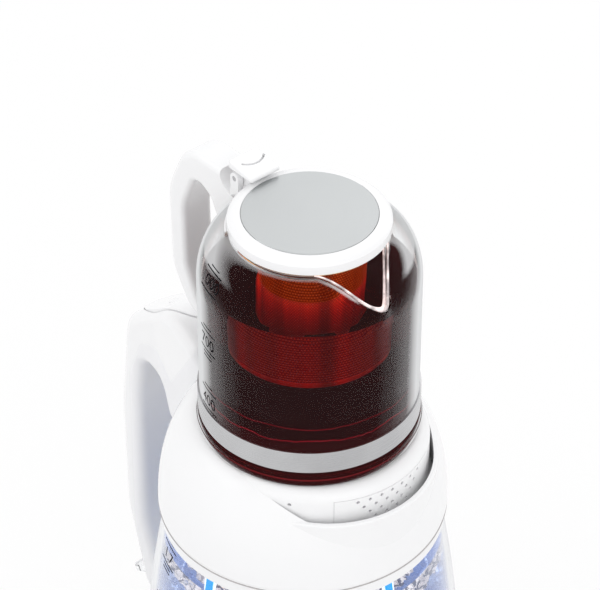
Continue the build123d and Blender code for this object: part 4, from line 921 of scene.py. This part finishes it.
# teapot glass, one turned shape with its lip pulled out into a spout
potValues = {
    "sides": 224, "wall": 0.0022, "bodyRadius": 0.0554, "bodyRing": 0.30, "neckRadius": 0.0395,
    "shoulderLow": 0.3272, "shoulderHigh": 0.0270, "shoulderSteps": 18, "rim": 0.3558, "rimRound": 0.0003,
    "foot": ((0.0300, 0.2385), (0.0552, 0.2385), (0.0564, 0.2390), (0.0568, 0.2398), (0.0568, 0.24205),
             (0.0571, 0.24225), (0.0571, 0.24275), (0.0568, 0.24295), (0.0568, 0.2456), (0.0565, 0.2462),
             (0.0558, 0.2465), (0.0554, 0.2467), (0.0554, 0.2750)),
    "floor": ((0.0532, 0.2750), (0.0532, 0.2437), (0.0528, 0.2430), (0.0518, 0.2425), (0.0300, 0.2425)),
    "spoutStart": (0.0325, 0.0236), "spoutEnd": 0.0590, "spoutRound": 2.4, "spoutRadius": 0.0572,
    "spoutDrop": 0.0173, "spoutReach": 60.0, "steepest": 80.0, "fallPower": 1.3,
}


# how far the lip is pulled at an angle: 0 on the neck, 1 at the tip, along a straight side
def lipPull(angle, values):
    startX, startY = values["spoutStart"]
    length = values["spoutEnd"] - startX
    slope = math.tan(math.radians(min(values["steepest"], math.hypot(angle, values["spoutRound"]))))
    share = (startY - startX * slope) / (startY + length * slope)
    radius = (startX + length * share) * math.hypot(1, slope)
    neck = math.hypot(startX, startY)
    return max(0.0, min(1.0, (radius - neck) / (values["spoutRadius"] - neck))) if share > 0 else 0.0


def pullLip(point, values):
    across, side = point.x - potAxis, point.y
    radius, angle = math.hypot(across, side), math.degrees(math.atan2(side, across))
    pull = lipPull(abs(angle), values) if abs(angle) < values["spoutReach"] else 0.0
    low, rim, neck, body = [values[key] for key in ("shoulderLow", "rim", "neckRadius", "bodyRadius")]
    if point.z <= low or pull == 0.0:
        return point
    high = (point.z - low) / (rim - low)
    step = min(1.0, max(0.0, (point.z - low) / values["shoulderHigh"]))
    outer = neck + (body - neck) * math.sqrt(1 - step * step)
    spout = body + (values["spoutRadius"] - body) * high
    out = outward(angle) * ((1 - pull) * outer + pull * spout - (outer - radius))
    fall = math.sin(pull * math.pi / 2) ** values["fallPower"]
    tipZ = low + (rim - values["spoutDrop"] - low) * high
    return Vector((potAxis + out.x, out.y, (1 - fall) * point.z + fall * tipZ))


def makeTeapotGlass(values):
    wall, neck, body, rim, soft = [values[key] for key in ("wall", "neckRadius", "bodyRadius", "rim", "rimRound")]
    low, high, steps, ring = [values[key] for key in ("shoulderLow", "shoulderHigh", "shoulderSteps", "bodyRing")]
    turns = [math.pi / 2 * step / steps for step in range(steps + 1)]
    shoulder = [(neck + (body - neck) * math.cos(turn), low + high * math.sin(turn)) for turn in turns]
    lip = [(neck, rim - soft), (neck - soft, rim), (neck - wall + soft, rim), (neck - wall, rim - soft)]
    inside = [(radius - wall, z) for radius, z in reversed(shoulder)]
    rings = [*values["foot"], (body, ring), *shoulder, *lip, *inside, (body - wall, ring), *values["floor"]]
    glass = turnRings(rings, potAxis, values["sides"])
    for vertex in glass.data.vertices:
        vertex.co = pullLip(vertex.co, values)
    finishPiece(glass, "teapot_blown_glass", "teapot", finishes["teapot_glass"], smooth=40)
    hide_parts("teapot_glass")


# rounded edge of the lip, and its second line inside the spout; their glow is a painted highlight along the lip's
# edges
beadValues = {
    "radius": 0.00062, "thin": 0.8, "swell": 0.7, "points": 41, "order": 4, "resolution": 4, "sides": 3,
    "spans": {  # inset, drop, first and last angle
        "spout_lip_bead": (0.0, 0.0001, -37.0, 37.0),
        "spout_inner_bead": (0.0021, 0.0014, -9.0, 36.0),
    },
    "constants": {"Transmission Weight": 0.35, "IOR": 1.47, "Emission Strength": 1.0},
    "scale": 170, "flowDetail": 3, "contrast": (0.40, 5.0), "rough": (0.08, 0.08),
    "colours": ((0.95, 0.88, 0.87), (0.55, 0.50, 0.50)), "glow": ((0.40, 0.33, 0.32), (0.04, 0.03, 0.032)),
}


def makeLipBead(name, values, pot):
    inset, drop, first, last = values["spans"][name]
    radius = pot["neckRadius"] - pot["wall"] / 2 - inset
    clearSelection()
    bpy.ops.curve.primitive_nurbs_path_add()
    bead = bpy.context.object
    bead.data.splines.remove(bead.data.splines[0])
    spline = bead.data.splines.new("NURBS")
    steps = values["points"] - 1
    spline.points.add(steps)
    for step, point in enumerate(spline.points):
        angle = first + (last - first) * step / steps
        edge = outward(angle) * radius + Vector((potAxis, 0, pot["rim"] - drop))
        point.co = (*pullLip(edge, pot), 1)
        point.radius = values["thin"] + values["swell"] * lipPull(abs(angle), pot) ** 2
    spline.order_u = values["order"]
    spline.use_endpoint_u = True
    spline.resolution_u = values["resolution"]
    bead.data.bevel_depth = values["radius"]
    bead.data.bevel_resolution = values["sides"]
    bead.data.use_fill_caps = True
    bpy.ops.object.convert(target="MESH")
    finishPiece(bpy.context.object, name, "teapot", lipHighlight.material, smooth=60)


makeTeapotGlass(potValues)
# the bead's emission is a painted highlight
lipHighlight = Finish("lipBeadHighlight", beadValues["constants"])
lipHighlight.shades(beadValues, beadValues["flowDetail"])
for name in beadValues["spans"]:
    makeLipBead(name, beadValues, potValues)
print("teapot glass drawn")


# a copy of a model node, in edit mode with its doubled points merged
def copyNode(name):
    piece = nodes[name].copy()
    piece.data = nodes[name].data.copy()
    bpy.context.collection.objects.link(piece)
    pick(piece)
    editAll()
    bpy.ops.mesh.remove_doubles(threshold=0.000002)
    return piece


# short collar that carries the hinge ears
collarValues = {"end": -0.0170}


def makeCollar(values):
    collar = copyNode("teapot_collar")
    bpy.ops.mesh.bisect(plane_co=(values["end"], 0, 0), plane_no=(1, 0, 0), clear_outer=True, use_fill=True)
    finishPiece(collar, "hinge_collar", "teapot", finishes["white_plastic"], smooth=30)
    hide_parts("teapot_collar")


# thumb tab, scooped by a curved groove
tabValues = {
    "low": (-0.0462, -0.0092, 0.3668), "high": (-0.0280, 0.0092, 0.3718),
    "bevel": 0.0020, "bevelSegments": 5, "slope": 0.0024,
    "grooveCentre": (-0.0458, 0.0014), "grooveRadius": 0.0092, "grooveWidth": 0.0012, "grooveHeight": 0.004,
    "grooveDepth": 0.0027, "grooveSweep": 100.0, "grooveSteps": 28,
}


def makeGroove(values):
    centreX, centreY = values["grooveCentre"]
    sweep, height = math.radians(values["grooveSweep"]), values["grooveHeight"]
    clearSelection()
    bpy.ops.mesh.primitive_plane_add(size=1)
    groove = bpy.context.object
    groove.scale = (values["grooveWidth"], height, 1)
    groove.rotation_euler = (math.pi / 2, 0, 0)
    groove.location = (values["grooveRadius"], 0, values["high"][2] - values["grooveDepth"] + height / 2)
    applyPlace()
    groove.rotation_euler = (0, 0, sweep / 2)
    groove.location = (centreX, centreY, 0)
    applyPlace()
    editAll()
    bpy.ops.mesh.spin(steps=values["grooveSteps"], angle=sweep, center=(centreX, centreY, 0), axis=(0, 0, 1))
    closeEdit()
    return groove


def makeThumbTab(values):
    low, high = Vector(values["low"]), Vector(values["high"])
    middle = (low + high) / 2
    clearSelection()
    bpy.ops.mesh.primitive_cube_add(size=1, location=middle)
    tab = bpy.context.object
    tab.scale = high - low
    applyPlace()
    for vertex in tab.data.vertices:
        if vertex.co.z > middle.z and vertex.co.x > middle.x:
            vertex.co.z -= values["slope"]
    soft = tab.modifiers.new("soft", "BEVEL")
    soft.width = values["bevel"]
    soft.segments = values["bevelSegments"]
    bpy.ops.object.modifier_apply(modifier="soft")
    groove = makeGroove(values)
    cut = tab.modifiers.new("cut", "BOOLEAN")
    cut.operation = "DIFFERENCE"
    cut.object = groove
    pick(tab)
    bpy.ops.object.modifier_apply(modifier="cut")
    bpy.data.objects.remove(groove)
    finishPiece(tab, "scooped_thumb_tab", "teapot_lid", finishes["white_plastic"], smooth=30)
    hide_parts("thumb_tab")


makeCollar(collarValues)
makeThumbTab(tabValues)
print("hinge pieces made")


def makeSpring():
    spring = copyNode("release_spring")
    finishPiece(spring, "release_coil", "kettle", finishes["spring_steel"], smooth=30)
    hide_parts("release_spring")
    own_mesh(spring)


makeSpring()
print("spring made")


# floor, sky and lamps
studio = {
    "floorSize": 12.0, "floorZ": -0.0003, "floorColour": (0.86, 0.86, 0.86), "shadowShare": 0.82,
    "white": (1, 1, 1), "skyStrength": 0.905, "lampAim": (0, 0, 0.25), "lampSize": 2.0,
    "lamps": {"keyLamp": ((-0.9, -1.5, 1.9), 12.0), "fillLamp": ((1.7, -0.4, 1.3), 9.0),
              "backLamp": ((-0.6, 1.6, 1.5), 8.0)},  # place and power
}


# 1 for rays from the camera, a mirror or glass, which see the floor and sky white
def seenRays(tree):
    path = tree.nodes.new("ShaderNodeLightPath")
    camera, glossy, through = [Wire(tree, path.outputs["Is " + kind + " Ray"])
                               for kind in ("Camera", "Glossy", "Transmission")]
    return (camera + glossy + through).math("MINIMUM", 1.0)


def makeFloor(values):
    clearSelection()
    bpy.ops.mesh.primitive_plane_add(size=values["floorSize"], location=(0, 0, values["floorZ"]))
    floor = bpy.context.object
    floor.name = "studio_floor"
    material = bpy.data.materials.new("studioFloor")
    material.use_nodes = True
    tree = material.node_tree
    tree.nodes.clear()
    exitNode = tree.nodes.new("ShaderNodeOutputMaterial")
    matt = addNode(tree, "BsdfDiffuse", None, {"Color": values["floorColour"]})
    glow = addNode(tree, "Emission", None, {"Color": values["white"], "Strength": 1.0})
    both = addNode(tree, "MixShader", None, {0: seenRays(tree) * values["shadowShare"], 1: matt, 2: glow})
    tree.links.new(both.socket, exitNode.inputs["Surface"])
    floor.data.materials.append(material)


def makeSky(values):
    world = bpy.data.worlds.new("studioSky")
    bpy.context.scene.world = world
    world.use_nodes = True
    tree = world.node_tree
    tree.nodes.clear()
    exitNode = tree.nodes.new("ShaderNodeOutputWorld")
    sky, white = [addNode(tree, "Background", None, {"Color": values["white"], "Strength": strength})
                  for strength in (values["skyStrength"], 1.0)]
    both = addNode(tree, "MixShader", None, {0: seenRays(tree), 1: sky, 2: white})
    tree.links.new(both.socket, exitNode.inputs["Surface"])


def makeLamps(values):
    for name, (place, power) in values["lamps"].items():
        lamp = bpy.data.objects.new(name, bpy.data.lights.new(name, "AREA"))
        bpy.context.collection.objects.link(lamp)
        lamp.data.size = values["lampSize"]
        lamp.data.energy = power
        lamp.location = place
        aim = Vector(values["lampAim"]) - Vector(place)
        lamp.rotation_euler = aim.to_track_quat("-Z", "Y").to_euler()


makeFloor(studio)
makeSky(studio)
makeLamps(studio)
bpy.context.scene.view_settings.view_transform = "Standard"
print("studio lit")
